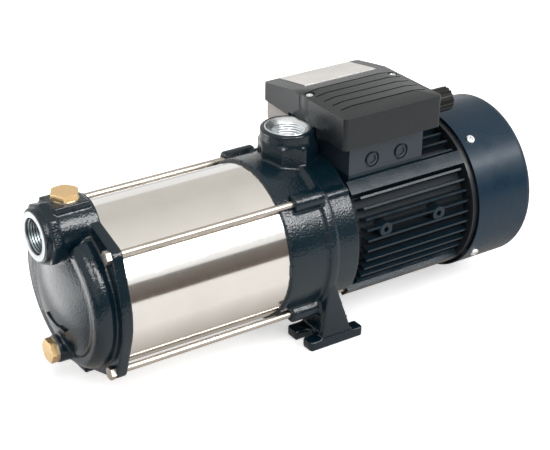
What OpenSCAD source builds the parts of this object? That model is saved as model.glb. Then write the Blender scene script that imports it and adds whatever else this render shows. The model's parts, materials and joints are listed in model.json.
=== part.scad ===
// Horizontal multistage pump, close coupled to its motor. Millimetres, +Z up.
// The origin lies on the floor at the centre of the foot. The shaft runs along X:
// the suction spout points to -X, the motor to +X, the discharge spout to +Z.
// Heights named ..._z below are measured from the shaft's axis, except shaft_z itself.

/* [Overall] */
// Height of the shaft's axis over the floor
shaft_z = 90; // [88:0.5:100]
// Length of one pump stage
stage_pitch = 26; // [24:0.5:30]
// Clearance between close-fitting pieces, on the radius
close_fit = 0.1; // [0.05:0.01:0.15]
// Clearance between loosely fitting pieces, on the radius
loose_fit = 0.3; // [0.2:0.05:0.4]

/* [Barrel and tie bolts] */
// Outer diameter of the stainless barrel
barrel_d = 139; // [136:1:144]
// Wall of the barrel
barrel_wall = 1; // [0.8:0.1:1.5]
// Thickness of the flat seals at the barrel's ends
barrel_seal_t = 1.5; // [1:0.1:2]
// Depth of the groove that takes the barrel's end and its seal
groove_depth = 5.5; // [5:0.1:6.5]
// Metal left outside the barrel groove
groove_lip = 2.4; // [2:0.1:3]
// Diameter of the tie bolts
tie_d = 6; // [5.5:0.1:6.5]
// Gap between the barrel and the tie bolts
tie_gap = 2.5; // [2:0.1:3]
// Hexagon heads of the tie bolts across the flats
tie_af = 10; // [9:0.5:11]
// Height of the tie bolts' heads
tie_head_h = 4.2; // [3.8:0.1:5]
// Length of thread that a tie bolt has in the discharge casing
tie_grip = 22; // [16:1:24]

/* [Suction cover] */
// Thickness of the cover's flange
flange_t = 10; // [9:0.5:12]
// Reach of the bolt lugs past the bolt circle
lug_reach = 5.5; // [5:0.5:8]
// Width of the bolt lugs
lug_w = 16; // [14:0.5:18]
// Height of the dome over the flange
dome_h = 27; // [25:0.5:30]
// Radius of the dome's side
dome_r = 64; // [62:0.5:66]
// Radius that the dome's face is crowned to
crown_r = 124; // [115:1:140]
// Radius of the dome's shoulder
shoulder_r = 14; // [12:0.5:16]
// Wall of the dome
dome_wall = 5.5; // [5:0.25:7]
// Radius of the raised channel on the dome's shoulder
channel_r = 10.5; // [9.5:0.25:11]
// Distance of the channel from the shaft's axis
channel_centre = 56; // [55:0.5:57]
// Height of the channel's centre over the flange
channel_h = 8; // [7:0.5:9]
// Tilt that lets the channel fade out at the bottom
channel_tilt = 3; // [2:0.5:4]
// Angle between the top and the channel's end
channel_start = 27; // [25:1:35]
// Length of the spigot that centres the barrel
spigot_len = 8; // [6:0.5:10]
// Wall of the spigots
spigot_wall = 4; // [3.5:0.25:5]
// Width of the small lug under the dome
toe_w = 20; // [16:1:24]
// Reach of that lug below the shaft's axis
toe_z = 75.5; // [74:0.5:78]
// Length of that lug along the shaft
toe_len = 4; // [3:0.5:6]

/* [Ports] */
// Wall radius of both ports' threads (G1 thread, minor diameter 30.3)
port_r = 15.15; // [14.5:0.05:15.5]
// Length of both ports' threads
port_thread = 18; // [16:0.5:20]
// Radius of the passage behind the threads
passage_r = 13; // [12:0.25:14]
// Height of the suction spout's axis over the shaft
spout_z = 58.7; // [57:0.1:60]
// Length of the suction spout in front of the flange
spout_len = 38.65; // [37:0.05:42]
// Radius of the suction spout's body
spout_r = 24.5; // [23.5:0.1:25.5]
// Radius of the octagonal collars of both spouts, to their corners
collar_r = 27; // [26.5:0.1:27.5]
// Length of the suction spout's collar
collar_len = 7; // [6:0.5:9]
// Length of the round ring in front of the collar
ring_len = 5.65; // [4:0.05:7]
// Radius of the suction spout's ring
ring_r = 23; // [22:0.1:24]
// Width of the machined step in the ring's face
step_w = 2.5; // [2:0.1:3]
// Place of the discharge spout behind the foot's centre (negative is forwards)
outlet_x = -11; // [-12:0.5:-10]
// Height of the discharge spout's face over the shaft
outlet_z = 98; // [96:0.5:100]
// Radius of the discharge spout's ring
outlet_ring_r = 24.5; // [23.5:0.1:25]
// Height of the discharge spout's ring
outlet_ring_h = 10; // [8:0.5:11]
// Radius of the way that the lid leaves free for the pipe
pipe_clear_r = 16.8; // [16.7:0.05:17]
// Radius of the bevel at the mouth of the discharge spout
outlet_bevel_r = 19.7; // [18:0.25:20.5]

/* [Plugs] */
// Brass filling plug across the flats
plug_af = 21.5; // [20:0.5:23]
// Diameter of the filling plug's thread
plug_d = 16.4; // [15:0.1:17]
// Drain plug across the flats
drain_af = 19; // [18:0.5:20]
// Diameter of the drain plug's thread
drain_d = 13; // [12:0.1:14]
// Height of the plugs' heads
plug_head_h = 5.8; // [5:0.1:7]
// Length of the plugs' threads
plug_thread = 9; // [8:0.25:10]
// Thickness of the sealing washers
plug_washer_t = 1; // [0.8:0.1:1.5]
// Distance of the filling plug in front of the flange
filling_x = 9.7; // [9:0.1:12]
// Width of the flat pad under the filling plug
pad_w = 28; // [26:0.5:30]
// Height of that pad over the shaft's axis
pad_z = 84.9; // [84.6:0.1:87]
// Distance of the drain plug below the shaft's axis
drain_z = 49.5; // [47:0.5:51]
// Height of the drain boss over the flange
drain_boss_h = 26; // [25:0.5:29]
// Radius of the drain boss
drain_boss_r = 12; // [11.5:0.25:13]

/* [Discharge casing] */
// Distance from the foot's centre forwards to the casing's front rim
casing_front = 54; // [52:0.5:58]
// Radius of the bosses that take the tie bolts
tie_boss_r = 7.8; // [7:0.1:8.5]
// Length of those bosses
tie_boss_len = 30; // [28:0.5:32]
// Reach of the casing's ridge past the casing's body
ridge_h = 3.5; // [3:0.25:4.5]
// Width of the ridge along the shaft
ridge_w = 8; // [7:0.5:9]
// Distance from the foot's centre forwards to the ridge's rear side
ridge_back = 8; // [7:0.5:9]
// Reach of the rear spigot in front of the casing's rim
rear_spigot = 4; // [3:0.5:6]
// Distance from the foot's centre back to the skirt's rear edge
skirt_back = 16; // [14:0.5:16.5]
// Wall of the skirt
skirt_wall = 3; // [2.5:0.25:4]
// Radius of the skirt's bosses over the upper motor studs
stud_boss_r = 7; // [6.5:0.25:8]
// Depth below the shaft's axis at which the skirt stays open
skirt_open_z = 40; // [38:1:45]
// Thickness of the wall between pump and motor
bulkhead_t = 6; // [5:0.5:7]

/* [Foot] */
// Length of the foot along the shaft
foot_l = 57; // [54:0.5:60]
// Distance of the foot pads' inner sides from the middle
foot_in = 27.7; // [26:0.1:30]
// Distance of the foot pads' outer sides from the middle
foot_out = 66.7; // [65.5:0.1:70]
// Thickness of the foot pads
foot_t = 9; // [8:0.5:11]
// Radius of the foot pads' corners
foot_corner = 4; // [2:0.5:4.5]
// Width of the foot's bolt slots
slot_w = 10; // [9:0.5:11]
// Depth of the bolt slots from the pad's end
slot_l = 15; // [13:0.5:16]
// Distance of the slots from the middle
slot_y = 48; // [46:0.5:49]
// Thickness of the legs' outer plates
leg_t = 7; // [6:0.5:9]
// Length of the legs at the foot pads
leg_base = 32; // [28:1:36]
// Thickness of the legs' cross webs
leg_web_t = 7; // [6:0.5:9]
// Step between the foot pads' sides and the legs' outer plates
leg_step = 1.5; // [1:0.25:2.5]
// Angle at which the legs' outer plates lean outwards
leg_lean = 6; // [4:0.5:7]

/* [Shaft and seal] */
// Diameter of the shaft in the pump
shaft_d = 16; // [15:0.5:16.5]
// Diameter of the shaft at its bearings
bearing_bore = 17; // [16.8:0.1:17.5]
// Diameter of the shaft in the rotor core
core_d = 20; // [19:0.5:21]
// Diameter of the shaft at the fan
fan_shaft_d = 15; // [13:0.5:16]
// Diameter of the threaded front end
shaft_thread_d = 12; // [10:0.5:13]
// Impeller nut across the flats
nut_af = 19; // [18:0.5:21]
// Height of the impeller nut
nut_h = 7; // [6:0.5:7.5]
// Thickness of the impeller washer
nut_washer_t = 1.5; // [1:0.1:2]
// Length of the seal's rotating head
seal_head_len = 23; // [20:0.5:26]
// Length of the seal's stationary seat
seal_seat_len = 7; // [6:0.5:8]
// Outer radius of the seal's seat
seal_seat_r = 13; // [12:0.25:14]
// Outer radius of the slinger ring
slinger_r = 19; // [16:0.5:22]

/* [Stages] */
// Wall of the stage shells
shell_wall = 2.5; // [2:0.25:3]
// Thickness of plates and discs in a stage
plate_t = 2; // [1.6:0.1:2.2]
// Radius of the impellers
impeller_r = 54; // [50:0.5:56]
// Radius of the impeller's neck that runs in the stage's wall
neck_r = 23; // [21:0.5:25]
// Radius of the impellers' hubs
hub_r = 13; // [12:0.25:14]
// Width of the impellers' passages
blade_w = 5; // [4:0.25:5.5]
// Number of impeller blades
blade_count = 6; // [5:1:7]
// Number of return vanes in a diffuser
vane_count = 7; // [5:1:8]
// Length of the inlet plate
inlet_len = 10; // [9:0.5:12]

/* [Bearings] */
// Outer diameter of the ball bearings
bearing_d = 40; // [39:0.5:41]
// Width of the ball bearings
bearing_w = 12; // [11:0.5:12.5]
// Diameter of the balls
ball_d = 6.6; // [6.2:0.1:6.8]
// Number of balls
ball_count = 8; // [6:1:8]

/* [Motor] */
// Distance from the foot's centre back to the motor frame
motor_x = 18; // [17.5:0.5:20]
// Length of the motor frame
motor_l = 125; // [122:1:140]
// Bore radius of the motor frame
frame_bore = 55.5; // [54.5:0.25:56]
// Wall of the motor frame between its fins
frame_wall = 3; // [2.5:0.25:4]
// Radius over the fins
fin_r = 69; // [67:0.5:71]
// Thickness of the fins
fin_t = 2; // [1.6:0.1:3]
// Number of fins round the frame
fin_count = 44; // [36:2:48]
// Distance between the frame's ends and the fins
fin_inset = 10; // [6:0.5:12]
// Diameter of the long motor studs
stud_d = 5.5; // [5:0.25:6]
// Radius of the circle through the motor studs
stud_circle = 68; // [67.5:0.25:68.5]
// Width of the four ribs that hold the studs
rib_w = 12.5; // [11:0.5:16]
// Length of stator and rotor core
core_l = 80; // [70:1:84]
// Outer radius of the rotor core
rotor_r = 31; // [28:0.5:34]
// Air gap between rotor and stator
air_gap = 0.5; // [0.4:0.05:0.8]
// Radius of the side bosses on the frame
side_boss_r = 6.5; // [6:0.25:8]
// Distance between the two side bosses
side_boss_pitch = 59; // [56:1:62]
// Thickness of the rear end shield
shield_t = 6; // [5:0.5:7]

/* [Small fasteners] */
// Nuts of the motor studs across the flats
stud_nut_af = 8; // [8:0.5:9]
// Height of these nuts
stud_nut_h = 4.4; // [4:0.1:5]
// Length of the studs behind the rear end shield
stud_end = 6; // [5:0.5:7]
// Radius of the small screws' shanks
screw_r = 1.9; // [1.5:0.1:2]
// Radius of the heads of the fan cover's screws
cover_head_r = 4.3; // [4:0.1:4.5]
// Height of these heads
cover_head_h = 2.6; // [2.2:0.1:3]
// Radius of the heads of the lid's screws
lid_head_r = 3.6; // [3.3:0.1:3.9]
// Height of these heads
lid_head_h = 2.2; // [1.8:0.1:2.5]

/* [Fan and cover] */
// Distance from the circle through the studs to the fan cover's outside
cover_reach = 8.3; // [7.5:0.1:12]
// Length of the fan cover
cover_l = 64; // [62:0.5:72]
// Wall of the fan cover
cover_wall = 1.2; // [1:0.1:1.5]
// Radius of the fan cover's rear edge
cover_round = 7; // [5:0.5:9]
// Distance from the fan cover's front edge to its screws
cover_screw_x = 10; // [9:0.5:11]
// Turn of the cover's screws from the motor studs
cover_screw_turn = 9; // [8.5:0.5:11]
// Width of the grille's slots
grille_slot = 4; // [3:0.25:5]
// Width of the grille's bars
grille_bar = 4; // [3:0.25:5]
// Number of slots from the grille's middle outwards
grille_rings = 6; // [4:1:6]
// Radius of the fan
fan_r = 66; // [60:0.5:68]
// Length of the fan's hub in front of its disc
fan_hub_l = 8; // [7:0.5:9]
// Thickness of the fan's disc
fan_disc_t = 2.5; // [2:0.1:3]
// Thickness of the fan's blades
fan_blade_t = 2; // [1.6:0.1:2.5]
// Width of the fan's blades
fan_w = 20; // [16:0.5:22]
// Number of fan blades
fan_blades = 8; // [6:1:10]

/* [Terminal box] */
// Distance from the foot's centre back to the box's base
box_x = 22; // [21:0.5:24]
// Distance by which the base stands back from the lid's rear side
box_inset = 6; // [4:0.5:8]
// Half width of the box's base
box_y = 45; // [43:0.5:47]
// Height of the base's seat on the motor frame
box_z = 60; // [59.5:0.25:62]
// Wall of the box's base
box_wall = 3; // [2.5:0.25:3.5]
// Distance from the foot's centre back to the lid's front side
lid_x = 4; // [3:0.5:5]
// Length of the lid
lid_l = 104; // [102:0.5:108]
// Half width of the lid
lid_y = 61.5; // [60:0.5:64]
// Wall of the lid
lid_wall = 2.5; // [2:0.1:3]
// Height of the lid's lower edge on the near side
rim_near_z = 92.8; // [92:0.1:94]
// Height of the lid's lower edge on the far side
rim_far_z = 98.5; // [97:0.1:100]
// Height of the lid's side on the near side
lid_side_z = 121.5; // [120:0.25:123]
// Height of the lid's flat top
lid_top_z = 124.3; // [123.5:0.1:126]
// Height of the lid's edge on the far side
lid_far_z = 114.6; // [113:0.1:117]
// Length of the bevels at the lid's ends
lid_bevel = 19; // [15:0.5:22]
// Distance from the middle to the first of the lid's grooves
lid_groove_y = 3.5; // [2:0.5:5]
// Distance between the lid's grooves
lid_groove_pitch = 11.8; // [10:0.1:12]
// Width of the lid's grooves
lid_groove_w = 1.6; // [1.2:0.1:2]
// Depth of the lid's grooves
lid_groove_d = 1.1; // [0.8:0.1:1.4]
// Thickness of the box's gasket
gasket_t = 1.5; // [1:0.1:2]
// Radius of the two closed cable knock-outs
knockout_r = 7.8; // [7:0.1:9]
// Radius of the capacitor
capacitor_r = 15.5; // [14:0.25:16]
// Length of the lid that the capacitor leaves free
capacitor_room = 28; // [26:1:34]
// Length of the bare plate on the lid
plate_l = 77; // [72:0.5:80]
// Width of the bare plate on the lid
plate_w = 40; // [34:0.5:42]

/* [Cable gland] */
// Distance of the gland from the middle, towards the near side
gland_y = 28; // [26:0.5:30]
// Height of the gland's axis over the shaft
gland_z = 100; // [99:0.25:101]
// Radius of the gland's nut
gland_nut_r = 11; // [10.5:0.1:12]
// Length of the gland's nut
gland_nut_l = 24.5; // [22:0.5:27]
// Radius of the gland's thread
gland_thread_r = 9; // [8.5:0.1:9.5]
// Height of the gland body's hexagon
gland_hex_t = 6; // [5:0.5:7]
// Length of the neck behind it
gland_neck_l = 10; // [9:0.5:11]
// Wall at the end of the gland's nut
gland_wall_l = 6; // [5:0.5:7]
// Radius of the hole for the cable
cable_r = 4.5; // [3.5:0.1:5]

/* [Hidden] */

$fn = 64;
stages = 5;
// Length by which a cutting body runs past what it cuts
over = 1;
// Angles of the four tie bolts and motor studs
quarter = [45, 135, 225, 315];

paint = [0.10, 0.16, 0.22];
dark_paint = [0.06, 0.10, 0.14];
steel = [0.80, 0.79, 0.77];
brass = [0.80, 0.62, 0.28];
plastic = [0.24, 0.25, 0.26];
black = [0.06, 0.06, 0.07];

// Barrel, its seals and what centres them
barrel_r = barrel_d / 2;
barrel_in_r = barrel_r - barrel_wall;
socket_r = barrel_r + loose_fit;
flange_r = socket_r + groove_lip;
spigot_r = barrel_in_r - loose_fit;
spigot_in_r = spigot_r - spigot_wall;
tie_circle = barrel_r + tie_gap + tie_d / 2;
stack_len = inlet_len + stages * stage_pitch;
stack_back = -casing_front - rear_spigot;
stack_front = stack_back - stack_len;
flange_back = stack_front - spigot_len;
flange_front = flange_back - flange_t;
barrel_front = flange_back - groove_depth + barrel_seal_t;
barrel_back = -casing_front + groove_depth - barrel_seal_t;
ridge_r = flange_r + ridge_h;
ridge_front = -ridge_back - ridge_w;
bulkhead_front = -ridge_back + 2;
bulkhead_back = bulkhead_front + bulkhead_t;
tie_boss_back = ridge_front + 3;
tie_boss_front = tie_boss_back - tie_boss_len;

// Shaft line
first_hub = stack_front + inlet_len;
nut_back = first_hub - nut_washer_t;
seal_pocket_front = bulkhead_front - 6;
seal_face = bulkhead_back - 4 - seal_seat_len;
seal_head_front = seal_face - seal_head_len;
lantern_r = frame_bore + frame_wall - 0.5;
lantern_in_r = frame_bore - 5.5;
web_front = motor_x - 8;
web_t = 5;
front_bearing_x = web_front + web_t;
front_bearing_end = front_bearing_x + bearing_w;
hub_out_r = bearing_d / 2 + 5;
motor_back = motor_x + motor_l;
rear_bearing_x = motor_back - bearing_w + 2;
rear_bearing_end = rear_bearing_x + bearing_w;
wave_t = 1.8;
shield_back = motor_back + shield_t;
core_x = (front_bearing_end + rear_bearing_x - core_l) / 2 + 1;
core_back = core_x + core_l;
race_mid_r = (bearing_d + bearing_bore) / 4;
race_gap = 0.15;
ring_shoulder = 2.0;
cage_t = 2;
cage_w = 8.4;

// Fan end
cover_r = stud_circle + cover_reach;
cover_front = shield_back - 1;
cover_back = cover_front + cover_l;
screw_x = cover_front + cover_screw_x;
screw_boss_back = screw_x + 8;
fan_x = screw_boss_back + 3;
fan_hub_back = fan_x + fan_w;
shaft_back = fan_hub_back + 4;

// Terminal box: the lid's lower edge rises from the near to the far side
rim_slope = (rim_far_z - rim_near_z) / (2 * lid_y);
function rim_z(y) = rim_near_z + rim_slope * (y + lid_y);
lid_back = lid_x + lid_l;
box_l = lid_back - box_inset - box_x;
capacitor_l = lid_l - capacitor_room;
lid_ridge_y = 4;
lid_corner = 4;
lid_near_bevel = 17.5;
rim_t = 3;
ledge_w = 5.5;
trough_r = capacitor_r + 4;
trough_y = lid_y - lid_wall - loose_fit - trough_r;
trough_z = 87;
port_clear = 1.8;
lid_screw_x = [lid_x + 7, lid_back - 7.5];
bridge_z = 112;
bridge_t = 6;
bridge_w = 10;
post_t = 6;
entry_w = 30;
entry_x = lid_back + 2;
entry_top = gland_z + 15;
gland_neck_x = entry_x + gland_hex_t;
gland_nut_gap = 0.5;

// Local X, Y and Z become the object's Y, Z and X, with the shaft's axis as local Z
module at_x(x) {
    translate([x, 0, shaft_z]) rotate([90, 0, 90]) children();
}

// The same, but facing forwards: local Z becomes -X and local Y stays upright
module facing_front(x) {
    translate([x, 0, shaft_z]) rotate([90, 0, -90]) children();
}

// Places children in the shaft's height, with their own axes kept
module at_shaft() {
    translate([0, 0, shaft_z]) children();
}

function polar(r, a) = [r * cos(a), r * sin(a)];

module tube(outer, inner, length) {
    linear_extrude(length) difference() {
        circle(outer);
        circle(inner);
    }
}

// A tube from one place along the shaft to another
module tube_x(from, to, outer, inner) {
    at_x(from) tube(outer, inner, to - from);
}

module rod_x(from, to, r) {
    at_x(from) cylinder(r = r, h = to - from);
}

// Puts children at each of the four corners of a circle, local Z along the shaft
module at_corners(x, r) {
    for (a = quarter) at_x(x) translate([r * cos(a), r * sin(a), 0]) children();
}

module rounded_plan(x0, x1, y0, y1, r) {
    translate([x0 + r, y0]) square([x1 - x0 - 2 * r, y1 - y0]);
    translate([x0, y0 + r]) square([x1 - x0, y1 - y0 - 2 * r]);
    for (x = [x0 + r, x1 - r], y = [y0 + r, y1 - r]) translate([x, y]) circle(r);
}

// Hexagon head with the corners turned off at its top
module hex_head(af, h) {
    corner_r = af / sqrt(3);
    intersection() {
        cylinder(r = corner_r, h = h, $fn = 6);
        cylinder(r1 = corner_r + h * 1.6, r2 = af / 2 - 0.2, h = h + 0.4);
    }
}

// Outline of one curved blade: an arc through the middle, cut by two circles
module blade_outline(inner, outer, t, bend) {
    intersection() {
        difference() {
            circle(outer);
            circle(inner);
        }
        translate([bend, 0]) difference() {
            circle(bend + t / 2);
            circle(bend - t / 2);
        }
        translate([-outer, 0]) square([2 * outer, outer]);
    }
}

// Half section of the dome, with its axis upright and a small flat on top; shrink makes
// its cavity
module dome_section(shrink) {
    r = dome_r - shrink;
    crown = crown_r - shrink;
    round = shoulder_r - shrink;
    crown_y = dome_h - crown_r;
    round_x = r - round;
    round_y = crown_y + sqrt(pow(crown - round, 2) - pow(round_x, 2));
    meet_x = crown * round_x / (crown - round);
    top_flat = 0.05;
    intersection() {
        translate([0, crown_y]) circle(crown);
        translate([0, -shrink]) square([meet_x, dome_h - top_flat]);
    }
    intersection() {
        translate([round_x, round_y]) circle(round);
        translate([0, -shrink]) square([r, dome_h + shrink]);
    }
    translate([0, -shrink]) square([r, round_y + shrink]);
}

module cover_flange() {
    at_x(flange_front) cylinder(r = flange_r, h = flange_t);
    lug_r = lug_w / 2;
    lug_circle = tie_circle + lug_reach - lug_r;
    at_corners(flange_front, lug_circle) cylinder(r = lug_r, h = flange_t);
    // Straight sides that run from the flange's rim to the lugs
    side_turn = acos((flange_r - lug_r) / lug_circle);
    for (a = quarter) at_x(flange_front) linear_extrude(flange_t) polygon([
        [0, 0], polar(flange_r - 0.03, a - side_turn),
        polar(lug_circle, a) + polar(lug_r - 0.03, a - side_turn),
        polar(lug_circle, a) + polar(lug_r - 0.03, a + side_turn),
        polar(flange_r - 0.03, a + side_turn)
    ]);
}

module suction_spout() {
    at_x(flange_front - spout_len + ring_len + collar_len) translate([0, spout_z, 0]) {
        cylinder(r = spout_r, h = spout_len - ring_len - collar_len + flange_t);
        translate([0, 0, -collar_len]) {
            cylinder(r = collar_r, h = collar_len, $fn = 8);
        }
        translate([0, 0, -collar_len - ring_len + step_w / 3]) {
            cylinder(r = ring_r, h = ring_len);
        }
        translate([0, 0, -collar_len - ring_len]) {
            cylinder(r = ring_r - step_w, h = ring_len);
        }
    }
    at_shaft() translate([flange_front - spout_len + ring_len + collar_len, -pad_w / 2, spout_z]) {
        cube([spout_len - ring_len - collar_len + flange_t - 4, pad_w, pad_z - spout_z]);
    }
}

module suction_cover() color(paint) {
    passage_x = flange_front - 5;
    difference() {
        union() {
            cover_flange();
            facing_front(flange_front) rotate_extrude() dome_section(0);
            facing_front(flange_front) translate([0, 0, channel_h]) rotate([channel_tilt, 0, 0]) {
                rotate(90 + channel_start) rotate_extrude(angle = 360 - 2 * channel_start) {
                    translate([channel_centre, 0]) circle(channel_r);
                }
            }
            suction_spout();
            facing_front(flange_front) translate([0, -drain_z, 0]) {
                cylinder(r = drain_boss_r, h = drain_boss_h);
            }
            at_shaft() translate([flange_front - toe_len, -toe_w / 2, -toe_z]) {
                cube([toe_len + flange_t - 2, toe_w, toe_z - dome_r + shoulder_r]);
            }
            rod_x(flange_back - groove_depth, stack_front, spigot_r);
        }
        // What the casting leaves open behind the dome
        facing_front(flange_front) rotate_extrude() dome_section(dome_wall);
        rod_x(flange_front - over, stack_front + over, spigot_in_r - 6);
        // Groove for the barrel
        at_x(flange_back - groove_depth) difference() {
            cylinder(r = socket_r, h = groove_depth + over);
            translate([0, 0, -over]) cylinder(r = spigot_r, h = groove_depth + 3 * over);
        }
        // Suction passage: in along the spout, then down into the dome
        at_x(flange_front - spout_len - over) translate([0, spout_z, 0]) {
            cylinder(r = port_r, h = port_thread + over);
            cylinder(r = passage_r, h = spout_len + over - 2);
            cylinder(r1 = port_r + 2 + over, r2 = port_r, h = 2 + over);
        }
        at_shaft() translate([passage_x, 0, dome_r / 2]) {
            cylinder(r = passage_r - 3.5, h = spout_z - dome_r / 2);
        }
        // Plug holes
        at_shaft() translate([flange_front - filling_x, 0, spout_z]) {
            cylinder(d = plug_d + 2 * close_fit, h = pad_z - spout_z + over);
        }
        facing_front(flange_front) translate([0, -drain_z, 0]) {
            cylinder(d = drain_d + 2 * close_fit, h = drain_boss_h + over);
        }
        at_corners(flange_front - over, tie_circle) {
            cylinder(d = tie_d + 2 * loose_fit, h = flange_t + 2 * over);
        }
    }
}

// Screw plug standing on the plane z = 0, its thread below
module screw_plug(af, d) {
    hex_head(af, plug_head_h);
    translate([0, 0, -plug_thread]) cylinder(d = d, h = plug_thread);
}

module plug_washer(af, d) {
    tube(af / 2 + 0.8, d / 2 + close_fit, plug_washer_t);
}

module at_filling_hole() {
    at_shaft() translate([flange_front - filling_x, 0, pad_z]) children();
}

module at_drain_hole() {
    facing_front(flange_front - drain_boss_h) translate([0, -drain_z, 0]) children();
}

module filling_plug() color(brass) {
    at_filling_hole() translate([0, 0, plug_washer_t]) screw_plug(plug_af, plug_d);
}

module filling_washer() color(steel) {
    at_filling_hole() plug_washer(plug_af, plug_d);
}

module drain_plug() color(brass) {
    at_drain_hole() translate([0, 0, plug_washer_t]) screw_plug(drain_af, drain_d);
}

module drain_washer() color(steel) {
    at_drain_hole() plug_washer(drain_af, drain_d);
}

module pump_barrel() color(steel) {
    tube_x(barrel_front, barrel_back, barrel_r, barrel_in_r);
}

// Flat ring at the bottom of a barrel groove
module barrel_seal(x) color(black) {
    tube_x(x, x + barrel_seal_t, socket_r - close_fit, spigot_r + close_fit);
}

module tie_bolts() color(steel) {
    at_corners(flange_front, tie_circle) {
        cylinder(d = tie_d, h = tie_boss_front + tie_grip - flange_front);
        rotate([180, 0, 0]) hex_head(tie_af, tie_head_h);
    }
}

// Plate in front of the first stage, dished towards the eye of its impeller
module inlet_plate() color(steel) {
    at_x(stack_front) {
        tube(spigot_r, spigot_r - shell_wall, inlet_len);
        translate([0, 0, inlet_len - plate_t]) {
            tube(spigot_r, neck_r + loose_fit, plate_t);
        }
        translate([0, 0, inlet_len - plate_t - 3]) {
            tube(neck_r + loose_fit + plate_t, neck_r + loose_fit, 3);
        }
    }
}

// One stage shell: outer wall, plate behind the impeller, return vanes and end wall
module diffuser(i) color(steel) {
    plate_x = 2 * plate_t + blade_w + 6;
    vane_l = stage_pitch - plate_t - plate_x;
    at_x(first_hub + i * stage_pitch) {
        tube(spigot_r, spigot_r - shell_wall, stage_pitch);
        translate([0, 0, stage_pitch - plate_t]) {
            tube(spigot_r, neck_r + loose_fit, plate_t);
        }
        translate([0, 0, plate_x]) {
            tube(spigot_r - shell_wall - 6, hub_r + loose_fit, plate_t);
            linear_extrude(vane_l) {
                for (k = [0 : vane_count - 1]) rotate(k * 360 / vane_count) {
                    blade_outline(neck_r + 2, spigot_r - shell_wall / 2, plate_t, 50);
                }
            }
        }
    }
}

// Closed impeller: hub, back disc, blades, front shroud and neck
module impeller(i) color("ivory") {
    shroud_x = 4;
    blade_x = shroud_x + plate_t;
    disc_x = blade_x + blade_w;
    neck_in = neck_r - 2.5;
    at_x(first_hub + i * stage_pitch) {
        difference() {
            union() {
                cylinder(r = hub_r, h = stage_pitch);
                translate([0, 0, disc_x]) cylinder(r = impeller_r, h = plate_t);
            }
            translate([0, 0, -over]) {
                cylinder(d = shaft_d + 2 * close_fit, h = stage_pitch + 2 * over, $fn = 6);
            }
        }
        translate([0, 0, blade_x - over / 2]) linear_extrude(blade_w + over) {
            for (k = [0 : blade_count - 1]) rotate(k * 360 / blade_count) {
                blade_outline(neck_in + 2, impeller_r - over, 2, 36);
            }
        }
        translate([0, 0, shroud_x]) tube(impeller_r, neck_in, plate_t);
        translate([0, 0, loose_fit - plate_t]) tube(neck_r, neck_in, shroud_x + plate_t);
    }
}

module impeller_washer() color(steel) {
    tube_x(nut_back, first_hub, hub_r - 1, shaft_thread_d / 2 + close_fit);
}

module impeller_nut() color(steel) {
    difference() {
        at_x(nut_back) rotate([0, 180, 0]) hex_head(nut_af, nut_h);
        rod_x(nut_back - nut_h - over, nut_back + over, shaft_thread_d / 2 + close_fit / 2);
    }
}

module shaft_sleeve() color(steel) {
    tube_x(stack_back, seal_head_front, hub_r, shaft_d / 2 + close_fit / 2);
}

// One shaft through pump and motor, hexagonal where it drives the impellers
module shaft() color(steel) {
    rod_x(nut_back - nut_h - 2, first_hub, shaft_thread_d / 2);
    at_x(first_hub) cylinder(d = shaft_d, h = stack_back - first_hub, $fn = 6);
    rod_x(stack_back, front_bearing_x - 1, shaft_d / 2);
    rod_x(front_bearing_x - 1, front_bearing_end, bearing_bore / 2);
    rod_x(front_bearing_end, core_x - 4, bearing_bore / 2 + 2);
    rod_x(core_x - 4, rear_bearing_x - 4, core_d / 2);
    rod_x(rear_bearing_x - 4, rear_bearing_end, bearing_bore / 2);
    rod_x(rear_bearing_end, shaft_back, fan_shaft_d / 2);
}

module seal_seat() color("white") {
    tube_x(seal_face, seal_face + seal_seat_len, seal_seat_r, shaft_d / 2 + 0.8);
}

// Rotating head: carbon face, bellows folds and drive ring on the shaft
module seal_head() color(black) {
    face_l = 4;
    fold_l = (seal_head_len - 2 * face_l) / 5;
    bore = shaft_d / 2 + close_fit / 2;
    tube_x(seal_face - face_l, seal_face, seal_seat_r - 1.5, bore);
    tube_x(seal_head_front, seal_head_front + face_l, seal_seat_r - 0.5, bore);
    for (k = [0 : 4]) {
        fold_x = seal_head_front + face_l + k * fold_l;
        tube_x(fold_x, fold_x + fold_l, k % 2 == 0 ? seal_seat_r - 2.5 : seal_seat_r - 1, bore);
    }
}

module discharge_spout() {
    at_shaft() translate([outlet_x, 0, lantern_in_r + 2]) {
        body_h = outlet_z - outlet_ring_h - lantern_in_r - 2;
        intersection() {
            cylinder(r = collar_r, h = body_h, $fn = 8);
            cylinder(r1 = collar_r + body_h, r2 = outlet_ring_r, h = body_h);
        }
        cylinder(r = outlet_ring_r, h = body_h + outlet_ring_h);
    }
}

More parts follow.
